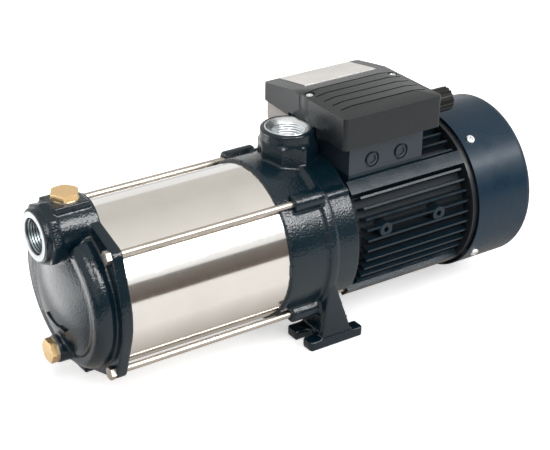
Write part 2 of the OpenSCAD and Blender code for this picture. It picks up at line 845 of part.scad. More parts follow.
// One leg: pad with two slots, cross web and outer plate, on the side +1 or -1
module leg(side) {
    pad_z0 = -shaft_z;
    leg_h = shaft_z - foot_t - 20;
    web_x = -ridge_back - leg_web_t + 3;
    mirror([0, side < 0 ? 1 : 0, 0]) {
        difference() {
            translate([0, 0, pad_z0]) linear_extrude(foot_t) {
                rounded_plan(-foot_l / 2, foot_l / 2, foot_in, foot_out, foot_corner);
            }
            for (end = [-1, 1]) translate([0, 0, pad_z0 - over]) {
                linear_extrude(foot_t + 2 * over) {
                    slot_end = foot_l / 2 - slot_l + slot_w / 2;
                    translate([end * slot_end, slot_y]) circle(slot_w / 2);
                    translate([end > 0 ? slot_end : -foot_l / 2 - over, slot_y - slot_w / 2]) {
                        square([foot_l / 2 - slot_end + over, slot_w]);
                    }
                }
            }
        }
        // Cross web under the ridge
        translate([web_x, 0, 0]) rotate([90, 0, 90]) linear_extrude(leg_web_t) {
            polygon([
                [foot_in + 2, pad_z0 + foot_t / 2], [foot_out - leg_t, pad_z0 + foot_t / 2],
                [foot_out - leg_t, -25], [foot_in + 2, -spigot_in_r]
            ]);
        }
        // Outer plate, narrowing and leaning outwards to the ridge
        translate([0, foot_out - leg_step, pad_z0 + foot_t]) rotate([90 - leg_lean, 0, 0]) {
            linear_extrude(leg_t) polygon([
                [-leg_base / 2, -foot_t / 2], [leg_base / 2, -foot_t / 2], [leg_base / 2, 0],
                [-ridge_back - 1, leg_h], [-ridge_back - 5, leg_h], [-leg_base / 2, 0]
            ]);
        }
    }
}

module discharge_casing() color(paint) {
    difference() {
        union() {
            difference() {
                union() {
                    rod_x(-casing_front, -ridge_back, flange_r);
                    rod_x(-ridge_back - over, bulkhead_back, spigot_r);
                    rod_x(ridge_front, -ridge_back, ridge_r);
                    // Skirt, open at the bottom
                    difference() {
                        rod_x(-ridge_back - over, skirt_back, flange_r + 1);
                        rod_x(-ridge_back - 2 * over, skirt_back + over, flange_r + 1 - skirt_wall);
                        at_shaft() translate([-ridge_back - over, -ridge_r, -ridge_r - skirt_open_z]) {
                            cube([skirt_back + ridge_back + 2 * over, 2 * ridge_r, ridge_r]);
                        }
                    }
                    for (a = [quarter[0], quarter[1]]) at_x(-ridge_back - over) {
                        translate(polar(stud_circle, a)) {
                            cylinder(r = stud_boss_r, h = skirt_back + ridge_back + over);
                        }
                    }
                    // Lantern between the bulkhead and the motor
                    rod_x(bulkhead_front, motor_x, lantern_r);
                    rod_x(motor_x - 4, motor_x, lantern_r + 4);
                    rod_x(motor_x - over, motor_x + 4, frame_bore - close_fit);
                    discharge_spout();
                    at_corners(tie_boss_front, tie_circle) {
                        cylinder(r = tie_boss_r, h = tie_boss_len);
                    }
                }
                // Pressure chamber and lantern space
                rod_x(-casing_front - over, bulkhead_front, spigot_in_r);
                rod_x(bulkhead_back, motor_x + 4 + over, lantern_in_r);
                // Groove for the barrel
                rod_x(-casing_front - over, -casing_front + groove_depth, socket_r);
            }
            tube_x(stack_back, -casing_front + groove_depth + over, spigot_r, spigot_in_r);
            at_shaft() {
                leg(-1);
                leg(1);
            }
            rod_x(seal_pocket_front, bulkhead_back, seal_seat_r + 5);
            rod_x(web_front, front_bearing_end, hub_out_r);
            rod_x(web_front, front_bearing_x, lantern_in_r + over);
        }
        // Discharge bore: thread, bevel and passage down to the chamber
        at_shaft() translate([outlet_x, 0, 0]) {
            translate([0, 0, outlet_z - 3]) {
                cylinder(r1 = port_r, r2 = outlet_bevel_r + 0.5, h = 3.4);
            }
            translate([0, 0, outlet_z - 3 - port_thread]) {
                cylinder(r = port_r, h = port_thread + over);
            }
            translate([0, 0, lantern_r - 1]) {
                cylinder(r = passage_r, h = outlet_z - lantern_r);
            }
        }
        // Seal seat, shaft hole and bearing seat
        rod_x(seal_pocket_front - over, seal_face + seal_seat_len, seal_seat_r + close_fit);
        rod_x(seal_pocket_front - over, front_bearing_end + over, shaft_d / 2 + 1.5);
        rod_x(front_bearing_x, front_bearing_end + over, bearing_d / 2 + close_fit / 5);
        rod_x(web_front - over, front_bearing_end, bearing_d / 2 - 4);
        // Leak window under the slinger
        at_shaft() translate([bulkhead_back + 1, -9, -lantern_r - over]) {
            cube([web_front - bulkhead_back - 2, 18, lantern_r / 2]);
        }
        // Grooves in the rim and threads for the tie bolts, holes for the motor studs
        at_corners(-casing_front - over, tie_circle) {
            cylinder(d = tie_d + 2 * loose_fit, h = tie_boss_front + casing_front + 2 * over);
        }
        at_corners(tie_boss_front - over, tie_circle) {
            cylinder(d = tie_d + 2 * close_fit, h = tie_grip + 1 + over);
        }
        at_corners(ridge_front, stud_circle) {
            cylinder(d = stud_d + 2 * close_fit, h = ridge_w + over);
            translate([0, 0, ridge_w - over]) {
                cylinder(d = stud_d + 2 * loose_fit, h = skirt_back + ridge_back + 2 * over);
            }
        }
    }
}

module slinger_ring() color(black) {
    tube_x(bulkhead_back + 3, bulkhead_back + 7, slinger_r, shaft_d / 2 + close_fit / 2);
    tube_x(bulkhead_back + 1.5, bulkhead_back + 7, shaft_d / 2 + 3, shaft_d / 2 + close_fit / 2);
}

// Ring of a ball bearing with its groove
module bearing_ring(x, outer, inner) color(steel) {
    difference() {
        tube_x(x, x + bearing_w, outer, inner);
        at_x(x + bearing_w / 2) rotate_extrude() {
            translate([race_mid_r, 0]) circle(ball_d / 2 + race_gap);
        }
    }
}

module bearing_outer(x) {
    bearing_ring(x, bearing_d / 2, race_mid_r + ring_shoulder);
}

module bearing_inner(x) {
    bearing_ring(x, race_mid_r - ring_shoulder, bearing_bore / 2 + close_fit / 5);
}

module at_balls(x) {
    for (k = [0 : ball_count - 1]) {
        at_x(x + bearing_w / 2) rotate(k * 360 / ball_count) translate([race_mid_r, 0, 0]) {
            children();
        }
    }
}

module bearing_balls(x) color(steel) {
    at_balls(x) sphere(d = ball_d);
}

module bearing_cage(x) color(brass) {
    difference() {
        tube_x(x + (bearing_w - cage_w) / 2, x + (bearing_w + cage_w) / 2,
            race_mid_r + cage_t / 2, race_mid_r - cage_t / 2);
        at_balls(x) rotate([0, 90, 0]) translate([0, 0, -2 * cage_t]) {
            cylinder(r = ball_d / 2 + race_gap, h = 4 * cage_t);
        }
    }
}

module wave_washer() color(steel) {
    tube_x(rear_bearing_end, rear_bearing_end + wave_t, bearing_d / 2 - 0.5, bearing_d / 2 - 4);
}

// Laminated core with a short-circuit ring at each end
module rotor_core() color("silver") {
    ring_l = 6;
    bore = core_d / 2 + close_fit / 5;
    tube_x(core_x, core_back, rotor_r, bore);
    tube_x(core_x - ring_l, core_x, rotor_r - 2, rotor_r - 11);
    tube_x(core_back, core_back + ring_l, rotor_r - 2, rotor_r - 11);
}

module stator_core() color("dimgray") {
    tube_x(core_x, core_back, frame_bore - close_fit, rotor_r + air_gap);
}

// Winding head: a ring of copper with rounded shoulders
module winding(x) color("peru") {
    inner = rotor_r + air_gap + 2;
    outer = frame_bore - 4;
    at_x(x) rotate_extrude() {
        translate([inner, 0]) square([outer - inner, 9]);
        translate([inner + 4, -4]) square([outer - inner - 8, 17]);
        for (r = [inner + 4, outer - 4], h = [0, 9]) translate([r, h]) circle(4);
    }
}

module frame_fins() {
    fin_len = motor_l - fin_inset - 2;
    for (k = [0 : fin_count - 1]) {
        at_x(motor_x + fin_inset) rotate((k + 0.5) * 360 / fin_count) {
            translate([frame_bore + 1, -fin_t / 2, 0]) {
                cube([fin_r - frame_bore - 1, fin_t, fin_len]);
            }
        }
    }
}

module side_boss(x) {
    at_shaft() translate([x, -frame_bore - 1, 11]) rotate([90, 0, 0]) {
        cylinder(r = side_boss_r, h = fin_r - frame_bore - 2);
    }
}

module motor_frame() color(dark_paint) {
    boss_x = motor_x + (motor_l - side_boss_pitch) / 2;
    side_boss_x = [boss_x - 3, boss_x - 3 + side_boss_pitch];
    difference() {
        union() {
            rod_x(motor_x, motor_back, frame_bore + frame_wall);
            frame_fins();
            // Ribs that hold the long studs
            intersection() {
                for (a = [45, 135]) at_x(motor_x) rotate(a) {
                    translate([-fin_r - 4, -rib_w / 2, 0]) {
                        cube([2 * (fin_r + 4), rib_w, motor_l]);
                    }
                }
                rod_x(motor_x, motor_back, stud_circle + stud_d / 2 + 2.2);
            }
            at_shaft() translate([box_x, -box_y, frame_bore / 2]) {
                cube([box_l, 2 * box_y, box_z - frame_bore / 2]);
            }
            for (x = side_boss_x) side_boss(x);
        }
        rod_x(motor_x - over, motor_back + over, frame_bore);
        at_corners(motor_x - over, stud_circle) {
            cylinder(d = stud_d + 2 * close_fit, h = motor_l + 2 * over);
        }
        // Room for the terminal box over its seat
        at_shaft() translate([box_x - 2, -lid_y, box_z]) {
            cube([box_l + 4, 2 * lid_y, fin_r]);
        }
        // Way for the wires
        at_shaft() translate([box_x + box_l / 2, 0, 0]) {
            cylinder(r = 9, h = box_z + over);
        }
        for (x = side_boss_x) at_shaft() translate([x, -fin_r + 8, 11]) {
            rotate([90, 0, 0]) cylinder(r = 2.5, h = 10);
        }
    }
}

module rear_end_shield() color(black) {
    hub_front = rear_bearing_x - 2;
    difference() {
        union() {
            tube_x(motor_back - 5, motor_back + over, frame_bore - close_fit, lantern_in_r);
            rod_x(motor_back, shield_back, stud_circle + stud_d / 2 + 2.2);
            rod_x(hub_front, shield_back, hub_out_r);
            intersection() {
                for (a = quarter) at_x(shield_back - over) rotate(a - cover_screw_turn) {
                    translate([frame_bore + 6, -5, 0]) {
                        cube([cover_r, 10, screw_boss_back - shield_back + over]);
                    }
                }
                rod_x(motor_back, screw_boss_back + over, cover_r - cover_wall - loose_fit);
            }
        }
        rod_x(hub_front - over, rear_bearing_end + wave_t, bearing_d / 2 + close_fit / 5);
        rod_x(hub_front - over, shield_back + over, bearing_bore / 2 + 1);
        at_corners(motor_back - over, stud_circle) {
            cylinder(d = stud_d + 2 * close_fit, h = shield_t + 2 * over);
        }
        at_cover_screws(-12) cylinder(r = screw_r + close_fit, h = 14);
    }
}

// Radial places of the cover's screws, local Z outwards, from the cover's surface
module at_cover_screws(out) {
    for (a = quarter) at_x(screw_x) rotate(a - cover_screw_turn) {
        rotate([0, 90, 0]) translate([0, 0, cover_r + out]) children();
    }
}

module motor_studs() color(steel) {
    at_corners(ridge_front + 1, stud_circle) {
        cylinder(d = stud_d, h = shield_back + stud_end - ridge_front - 1);
    }
}

module stud_nuts() color(steel) {
    at_corners(shield_back, stud_circle) difference() {
        hex_head(stud_nut_af, stud_nut_h);
        translate([0, 0, -over]) cylinder(d = stud_d + close_fit, h = stud_nut_h + 2 * over);
    }
}

// Radial fan: hub, disc and straight blades that blow either way round
module fan() color(black) {
    at_x(fan_x) {
        difference() {
            union() {
                translate([0, 0, -fan_hub_l]) {
                    cylinder(r = fan_shaft_d / 2 + 6, h = fan_w + fan_hub_l);
                }
                cylinder(r = fan_r, h = fan_disc_t);
                for (k = [0 : fan_blades - 1]) rotate(k * 360 / fan_blades) {
                    translate([fan_shaft_d / 2 + 4, -fan_blade_t / 2, 0]) {
                        cube([fan_r - fan_shaft_d / 2 - 4, fan_blade_t, fan_w]);
                    }
                }
            }
            translate([0, 0, -fan_hub_l - over]) {
                cylinder(r = fan_shaft_d / 2 + close_fit / 5, h = fan_w + fan_hub_l + 2 * over);
            }
        }
    }
}

module fan_clip() color(steel) {
    tube_x(fan_hub_back, fan_hub_back + 1.2, fan_shaft_d / 2 + 3, fan_shaft_d / 2 + close_fit / 5);
}

// Half section of the fan cover's outside; shrink makes its inside
module cover_section(shrink) {
    r = cover_r - shrink;
    h = cover_l - shrink;
    round = cover_round - shrink;
    square([r, h - round]);
    square([r - round, h]);
    translate([r - round, h - round]) circle(round);
}

module fan_cover() color(paint) {
    slot_pitch = grille_slot + grille_bar;
    difference() {
        at_x(cover_front) rotate_extrude() cover_section(0);
        at_x(cover_front) rotate_extrude() cover_section(cover_wall);
        rod_x(cover_front - over, cover_front + over, cover_r - cover_wall);
        at_x(cover_back - 2 * cover_wall) linear_extrude(3 * cover_wall) difference() {
            for (k = [1 : grille_rings]) difference() {
                circle(10 + k * slot_pitch);
                circle(10 + k * slot_pitch - grille_slot);
            }
            for (a = [0, 45, 90, 135]) rotate(a) square([2 * cover_r, 5], center = true);
        }
        at_cover_screws(-3) cylinder(r = screw_r + loose_fit, h = 6);
    }
}

// Domed screw head standing on the plane z = 0
module pan_head(r, h) {
    dome = 1.5 * r;
    intersection() {
        cylinder(r = r, h = h);
        translate([0, 0, h + 0.05 - dome]) sphere(r = dome);
    }
}

module fan_cover_screws() color(steel) {
    shank_l = 10;
    at_cover_screws(0) {
        pan_head(cover_head_r, cover_head_h);
        translate([0, 0, -shank_l]) cylinder(r = screw_r, h = shank_l);
    }
}

// Slanted slab between two heights over the lid's lower edge
module rim_slab(low, high) {
    reach = 2 * lid_y;
    at_shaft() translate([lid_x - 30, 0, 0]) rotate([90, 0, 90]) linear_extrude(lid_l + 60) {
        polygon([
            [-reach, rim_z(-reach) + low], [reach, rim_z(reach) + low],
            [reach, rim_z(reach) + high], [-reach, rim_z(-reach) + high]
        ]);
    }
}

// Upright block with the lid's outline, made smaller by inset on all sides
module lid_plan(inset, low, high) {
    at_shaft() translate([0, 0, low]) linear_extrude(high - low) {
        rounded_plan(lid_x + inset, lid_back - inset, -lid_y + inset, lid_y - inset,
            max(lid_corner - inset, 1));
    }
}

// The lid's whole form, with its slanted far half and its bevels; inset makes its inside
module lid_form(inset) {
    at_shaft() intersection() {
        translate([lid_x, 0, 0]) rotate([90, 0, 90]) linear_extrude(lid_l) polygon([
            [-lid_y, rim_z(-lid_y)], [lid_y, rim_z(lid_y)],
            [lid_y, lid_far_z - inset], [lid_ridge_y, lid_top_z - inset],
            [-lid_y + lid_near_bevel, lid_top_z - inset], [-lid_y, lid_side_z - inset]
        ]);
        translate([0, lid_y, 0]) rotate([90, 0, 0]) linear_extrude(2 * lid_y) lid_front_section(inset);
    }
}

// The lid seen from the near side, with the bevels at both ends
module lid_front_section(inset) {
    polygon([
        [lid_x, rim_near_z - 2 * over], [lid_x, lid_side_z - inset],
        [lid_x + lid_bevel, lid_top_z - inset], [lid_back - lid_bevel, lid_top_z - inset],
        [lid_back, lid_side_z - inset], [lid_back, rim_near_z - 2 * over]
    ]);
}

// Space that the lid and the box leave free round the discharge spout and its pipe
module port_recess(wall) {
    collar_top = outlet_z - outlet_ring_h + port_clear;
    at_shaft() translate([outlet_x, 0, box_z - over]) {
        cylinder(r = collar_r + port_clear + wall, h = collar_top + wall - box_z + over);
        cylinder(r = outlet_ring_r + port_clear + wall, h = outlet_z + port_clear + wall - box_z + over);
        cylinder(r = pipe_clear_r + 0.7 * wall, h = lid_top_z - box_z + 2 * over);
    }
}

module lid_grooves() {
    for (k = [0 : 4]) at_shaft() {
        translate([lid_x + 8, lid_groove_y - k * lid_groove_pitch - lid_groove_w / 2, lid_side_z - 6]) {
            cube([lid_l - 13, lid_groove_w, 20]);
        }
    }
}

module terminal_box_lid() color(plastic) {
    difference() {
        union() {
            difference() {
                intersection() {
                    lid_form(0);
                    lid_plan(0, rim_near_z - over, lid_top_z + over);
                }
                intersection() {
                    lid_form(lid_wall);
                    lid_plan(lid_wall, rim_near_z - 2 * over, lid_top_z);
                }
            }
            // Ledge that presses on the gasket
            intersection() {
                rim_slab(rim_t + gasket_t, rim_t + gasket_t + 2.5);
                difference() {
                    lid_plan(over / 2, rim_near_z, lid_top_z - lid_wall);
                    lid_plan(ledge_w, rim_near_z - over, lid_top_z);
                }
            }
            // Wall round the recess for the discharge spout
            intersection() {
                lid_form(over / 2);
                lid_plan(over / 2, rim_near_z, lid_top_z);
                rim_slab(rim_t + gasket_t, 60);
                port_recess(lid_wall);
            }
            // Bosses under the screw holes
            for (x = lid_screw_x) at_shaft() translate([x, 0, bridge_z + bridge_t]) {
                cylinder(r = lid_head_r + 2.3, h = lid_side_z - bridge_z - bridge_t);
            }
        }
        port_recess(0);
        difference() {
            lid_grooves();
            at_shaft() translate([0, lid_y, 0]) rotate([90, 0, 0]) linear_extrude(2 * lid_y) {
                lid_front_section(lid_groove_d);
            }
        }
        for (x = lid_screw_x) at_shaft() translate([x, 0, bridge_z]) {
            cylinder(r = screw_r + loose_fit, h = lid_top_z - bridge_z + over);
            translate([0, 0, lid_side_z - bridge_z - 1.6]) cylinder(r = lid_head_r + 0.8, h = 8);
        }
        // Notch for the cable entry
        at_shaft() translate([lid_back - 4 * lid_wall, -gland_y - entry_w / 2 - loose_fit, box_z]) {
            cube([4 * lid_wall + over, entry_w + 2 * loose_fit, entry_top + loose_fit - box_z]);
        }
    }
}

module lid_screws() color(steel) {
    for (x = lid_screw_x) at_shaft() translate([x, 0, lid_side_z - 1.6]) {
        pan_head(lid_head_r, lid_head_h);
        translate([0, 0, bridge_z + 1 - lid_side_z]) {
            cylinder(r = screw_r, h = lid_side_z - bridge_z - 1);
        }
    }
}

// Bare plate on the lid's slanted far half
module lid_plate() color("gainsboro") {
    run = lid_y - lid_ridge_y;
    drop = lid_top_z - lid_far_z;
    tilt = atan(drop / run);
    slope_l = sqrt(run * run + drop * drop);
    at_shaft() translate([lid_x + (lid_l - plate_l) / 2 + 2, lid_y, lid_far_z]) {
        rotate([-tilt, 0, 0]) translate([0, -plate_w - 2.5, 0]) cube([plate_l, plate_w, 0.6]);
    }
}

// Round-bottomed trough for the capacitor, as a solid of the given radius
module trough(r, x0, x1) {
    at_shaft() translate([x0, trough_y, trough_z]) rotate([90, 0, 90]) {
        cylinder(r = r, h = x1 - x0);
        translate([-r, 0, 0]) cube([2 * r, 20, x1 - x0]);
    }
}

// Post and arm inside the box that take a lid screw
module screw_bridge(x, post_x) {
    low = max(min(x, post_x) - 3.2, outlet_x + pipe_clear_r + lid_wall);
    high = max(x, post_x) + 3.2;
    at_shaft() translate([0, -bridge_w / 2, 0]) {
        translate([low, 0, bridge_z]) cube([high - low, bridge_w, bridge_t]);
        translate([post_x - post_t / 2, 0, box_z + 1]) {
            cube([post_t, bridge_w, bridge_z - box_z]);
        }
    }
}

module terminal_box_base() color([0.27, 0.31, 0.36]) {
    trough_x = [lid_x + lid_wall + loose_fit, lid_x + capacitor_l + 18];
    difference() {
        union() {
            difference() {
                union() {
                    intersection() {
                        at_shaft() translate([box_x, -box_y, box_z]) {
                            cube([box_l, 2 * box_y, rim_far_z - box_z + 10]);
                        }
                        rim_slab(-60, rim_t);
                    }
                    intersection() {
                        trough(trough_r, trough_x[0], trough_x[1]);
                        rim_slab(-60, rim_t);
                    }
                    intersection() {
                        lid_plan(lid_wall + loose_fit, rim_near_z - 5, lid_top_z);
                        rim_slab(0, rim_t);
                    }
                }
                at_shaft() translate([box_x + box_wall, -box_y + box_wall, box_z + box_wall]) {
                    cube([box_l - 2 * box_wall, 2 * (box_y - box_wall), lid_top_z]);
                }
                trough(trough_r - box_wall, trough_x[0] + box_wall, trough_x[1] - box_wall);
            }
            screw_bridge(lid_screw_x[0], box_x + 1 + post_t / 2);
            screw_bridge(lid_screw_x[1], lid_back - ledge_w - loose_fit - post_t / 2);
            // Block that takes the cable gland
            at_shaft() translate([box_x + box_l - box_wall, -gland_y - entry_w / 2, rim_near_z - 2]) {
                cube([entry_x - box_x - box_l + box_wall, entry_w, entry_top - rim_near_z + 2]);
            }
        }
        port_recess(0);
        at_shaft() translate([box_x + box_l / 2, 0, box_z - over]) {
            cylinder(r = 9, h = box_wall + 2 * over);
        }
        at_shaft() translate([box_x + box_l - 2 * box_wall, -gland_y, gland_z]) rotate([0, 90, 0]) {
            cylinder(r = gland_thread_r + close_fit, h = lid_l);
        }
        for (x = lid_screw_x) at_shaft() translate([x, 0, bridge_z - over]) {
            cylinder(r = screw_r + close_fit, h = bridge_t + 2 * over);
        }
        // Knock-outs on the near side
        for (x = [box_x + 24.4, box_x + 55.9]) {
            at_shaft() translate([x, -box_y + 1.8, box_z + 10]) rotate([90, 0, 0]) difference() {
                cylinder(r = knockout_r, h = 4);
                cylinder(r = knockout_r - 2, h = 1.2);
            }
        }
    }
}

module terminal_box_gasket() color(black) {
    difference() {
        intersection() {
            rim_slab(rim_t, rim_t + gasket_t);
            difference() {
                lid_plan(lid_wall + loose_fit, rim_near_z, lid_top_z);
                lid_plan(ledge_w, rim_near_z - over, lid_top_z + over);
            }
        }
        port_recess(0);
        at_shaft() translate([box_x + box_l - box_wall, -gland_y - entry_w / 2 - loose_fit, box_z]) {
            cube([lid_l, entry_w + 2 * loose_fit, lid_top_z - box_z]);
        }
    }
}

// Insulating board with six terminal studs
module terminal_board() color("saddlebrown") {
    at_shaft() translate([box_x + 14, -box_y + 8, box_z + box_wall]) {
        cube([44, 24, 7]);
        for (i = [0 : 2], j = [0, 1]) translate([9 + 13 * i, 6 + 12 * j, 7]) {
            cylinder(r = 1.9, h = 9);
        }
    }
}

module capacitor() color("gainsboro") {
    start = lid_x + lid_wall + box_wall + 4;
    rest_z = trough_z - (trough_r - box_wall - capacitor_r) + close_fit;
    at_shaft() translate([start, trough_y, rest_z]) rotate([0, 90, 0]) {
        cylinder(r = capacitor_r, h = capacitor_l);
        translate([0, 0, capacitor_l]) cylinder(r = capacitor_r - 5, h = 4);
    }
}

// Places children at the gland, local Z outwards along +X
module at_gland(x) {
    at_shaft() translate([x, -gland_y, gland_z]) rotate([0, 90, 0]) children();
}

module gland_body() color(black) {
    thread_l = 12;
    end = gland_hex_t + gland_neck_l;
    at_gland(entry_x) difference() {
        union() {
            cylinder(r = gland_nut_r + 0.5, h = gland_hex_t, $fn = 6);
            translate([0, 0, -thread_l]) cylinder(r = gland_thread_r, h = thread_l);
            cylinder(r = gland_thread_r - 1, h = end);
        }
        translate([0, 0, -thread_l - over]) cylinder(r = cable_r + 2, h = thread_l + end + 2 * over);
    }
}

module gland_nut() color(black) {
    at_gland(gland_neck_x + gland_nut_gap) difference() {
        linear_extrude(gland_nut_l) difference() {
            circle(gland_nut_r);
            for (k = [0 : 15]) rotate(k * 22.5) translate([gland_nut_r + 0.5, 0]) circle(1.3);
        }
        translate([0, 0, -over]) {
            cylinder(r = gland_thread_r - 1 + close_fit, h = gland_nut_l - gland_wall_l + over);
        }
        cylinder(r = cable_r + 1, h = gland_nut_l + over);
    }
}

module gland_seal() color(black) {
    seal_l = gland_nut_gap + gland_nut_l - gland_wall_l - gland_neck_l;
    at_gland(gland_neck_x + gland_neck_l) tube(gland_thread_r - 1, cable_r, seal_l);
}

suction_cover();
filling_plug();
filling_washer();
drain_plug();
drain_washer();
pump_barrel();
barrel_seal(barrel_front - barrel_seal_t);  // barrel_front_seal
barrel_seal(barrel_back);  // barrel_rear_seal
tie_bolts();
inlet_plate();
diffuser(0);  // diffuser_1
diffuser(1);  // diffuser_2
diffuser(2);  // diffuser_3
diffuser(3);  // diffuser_4
diffuser(4);  // diffuser_5
impeller(0);  // impeller_1
impeller(1);  // impeller_2
impeller(2);  // impeller_3
impeller(3);  // impeller_4
impeller(4);  // impeller_5
impeller_washer();
impeller_nut();
shaft_sleeve();
shaft();
seal_seat();
seal_head();
discharge_casing();
slinger_ring();
bearing_outer(front_bearing_x);  // front_bearing_outer
bearing_inner(front_bearing_x);  // front_bearing_inner
bearing_balls(front_bearing_x);  // front_bearing_balls
bearing_cage(front_bearing_x);  // front_bearing_cage
bearing_outer(rear_bearing_x);  // rear_bearing_outer
bearing_inner(rear_bearing_x);  // rear_bearing_inner
bearing_balls(rear_bearing_x);  // rear_bearing_balls
bearing_cage(rear_bearing_x);  // rear_bearing_cage
wave_washer();
rotor_core();
stator_core();
winding(core_x - 13);  // front_winding
winding(core_back + 4);  // rear_winding
motor_frame();
rear_end_shield();
motor_studs();
stud_nuts();
fan();
fan_clip();
fan_cover();
fan_cover_screws();
terminal_box_base();
terminal_box_gasket();
terminal_box_lid();
lid_screws();
lid_plate();
terminal_board();
capacitor();
gland_body();
gland_nut();
gland_seal();
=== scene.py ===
# %% [markdown]
# This notebook dresses a horizontal multistage pump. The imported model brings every
# solid piece at its place, so what is left to do here is the look: the grainy paint of
# the castings, the mirror of the barrel, the threads in the ports and the light.

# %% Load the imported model
import json
import math

import bpy
from mathutils import Matrix, Vector


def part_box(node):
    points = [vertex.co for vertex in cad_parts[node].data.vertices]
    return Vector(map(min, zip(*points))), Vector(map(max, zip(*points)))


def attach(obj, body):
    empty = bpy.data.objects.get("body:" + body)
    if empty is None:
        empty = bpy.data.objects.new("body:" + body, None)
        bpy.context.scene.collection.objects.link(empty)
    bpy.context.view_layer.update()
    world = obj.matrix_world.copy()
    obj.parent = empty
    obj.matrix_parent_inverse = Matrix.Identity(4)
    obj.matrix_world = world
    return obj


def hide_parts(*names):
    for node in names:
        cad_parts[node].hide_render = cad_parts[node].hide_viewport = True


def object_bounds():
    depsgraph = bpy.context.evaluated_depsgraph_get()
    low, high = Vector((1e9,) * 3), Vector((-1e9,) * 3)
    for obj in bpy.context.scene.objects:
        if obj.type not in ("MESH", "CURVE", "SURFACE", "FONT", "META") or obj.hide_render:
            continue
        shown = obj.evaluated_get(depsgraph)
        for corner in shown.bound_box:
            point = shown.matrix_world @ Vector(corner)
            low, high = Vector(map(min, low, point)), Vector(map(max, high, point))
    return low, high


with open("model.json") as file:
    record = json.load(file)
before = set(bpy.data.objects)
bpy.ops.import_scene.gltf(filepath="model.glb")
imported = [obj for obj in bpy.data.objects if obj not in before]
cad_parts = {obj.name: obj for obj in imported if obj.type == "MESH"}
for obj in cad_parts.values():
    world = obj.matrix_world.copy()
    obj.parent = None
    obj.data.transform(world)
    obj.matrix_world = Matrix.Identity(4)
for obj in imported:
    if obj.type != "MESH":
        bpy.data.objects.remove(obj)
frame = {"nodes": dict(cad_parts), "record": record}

cad_bounds = [list(corner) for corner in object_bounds()]
nodes = frame["nodes"]
print("pieces loaded:", len(nodes), "box:", cad_bounds)

# %% [markdown]
# The work below often needs the same few steps: choose one object, select faces by
# their place, put on a modifier and apply it. They become small helpers, so that the
# modelling cells read like a list of what a hand would do.

# %% Helpers for modelling
MM = 0.001
SHAFT_Z = 90 * MM
MERGE_DISTANCE = 0.001 * MM


def choose(obj):
    """Makes obj the only selected and active object."""
    if bpy.context.object and bpy.context.object.mode != "OBJECT":
        bpy.ops.object.mode_set(mode="OBJECT")
    bpy.ops.object.select_all(action="DESELECT")
    obj.select_set(True)
    bpy.context.view_layer.objects.active = obj


def start_piece(name):
    """Names the primitive that was just added."""
    obj = bpy.context.object
    obj.name = name
    obj.data.name = name
    return obj


def settle(obj):
    """Puts the object's place into its mesh, so that it sits at the origin."""
    choose(obj)
    bpy.ops.object.transform_apply(location=True, rotation=True, scale=True)


def apply_modifier(obj, kind, **values):
    """Adds a modifier with these values and applies it."""
    choose(obj)
    modifier = obj.modifiers.new(kind.lower(), kind)
    for key, value in values.items():
        setattr(modifier, key, value)
    bpy.ops.object.modifier_apply(modifier=modifier.name)


def edit_all(obj):
    """Enters edit mode with the whole mesh selected."""
    choose(obj)
    bpy.ops.object.mode_set(mode="EDIT")
    bpy.ops.mesh.select_all(action="SELECT")


def select_in_edit(obj, kind, test):
    """Enters edit mode with only those faces or edges selected that pass the test."""
    choose(obj)
    bpy.ops.object.mode_set(mode="EDIT")
    bpy.ops.mesh.select_mode(type=kind)
    bpy.ops.mesh.select_all(action="DESELECT")
    bpy.ops.object.mode_set(mode="OBJECT")
    parts = {"FACE": obj.data.polygons, "EDGE": obj.data.edges}[kind]
    count = 0
    for part in parts:
        part.select = bool(test(part))
        count += part.select
    bpy.ops.object.mode_set(mode="EDIT")
    return count


def outward(obj):
    """Merges doubles and turns all faces outwards."""
    edit_all(obj)
    bpy.ops.mesh.remove_doubles(threshold=MERGE_DISTANCE)
    bpy.ops.mesh.normals_make_consistent(inside=False)
    bpy.ops.object.mode_set(mode="OBJECT")


def copy_piece(obj, name):
    """A copy with its own mesh."""
    twin = bpy.data.objects.new(name, obj.data.copy())
    twin.data.name = name
    bpy.context.scene.collection.objects.link(twin)
    return twin


def smooth_by_angle(obj, degrees):
    """Smooth shading, with edges steeper than the angle kept sharp."""
    choose(obj)
    bpy.ops.object.shade_smooth_by_angle(angle=math.radians(degrees))


# %% [markdown]
# A shader node group is a small machine with named inputs and outputs. It is built once
# and used in many materials with other values. These helpers place and link its nodes,
# so that a group or material takes only a few lines.

# %% Node helpers
MIX_FACTOR, MIX_FIRST, MIX_SECOND, MIX_RESULT = 0, 6, 7, 2


def new_group(name, inputs, outputs):
    """A shader node group with these float, colour or vector sockets."""
    group = bpy.data.node_groups.new(name, "ShaderNodeTree")
    for label, kind, default in inputs:
        socket = group.interface.new_socket(label, in_out="INPUT", socket_type=kind)
        if default is not None:
            socket.default_value = default
    for label, kind in outputs:
        group.interface.new_socket(label, in_out="OUTPUT", socket_type=kind)
    start = group.nodes.new("NodeGroupInput")
    end = group.nodes.new("NodeGroupOutput")
    return group, start, end


def feed(tree, socket, value):
    """Sets a socket to a number or colour, or links the socket that is given."""
    if isinstance(value, tuple):
        socket.default_value = (*value, 1)
    elif isinstance(value, (int, float)):
        socket.default_value = value
    else:
        tree.links.new(value, socket)


def math_node(tree, operation, a, b):
    """One sum, product or the like; a and b are numbers or sockets."""
    node = tree.nodes.new("ShaderNodeMath")
    node.operation = operation
    feed(tree, node.inputs[0], a)
    feed(tree, node.inputs[1], b)
    return node.outputs[0]


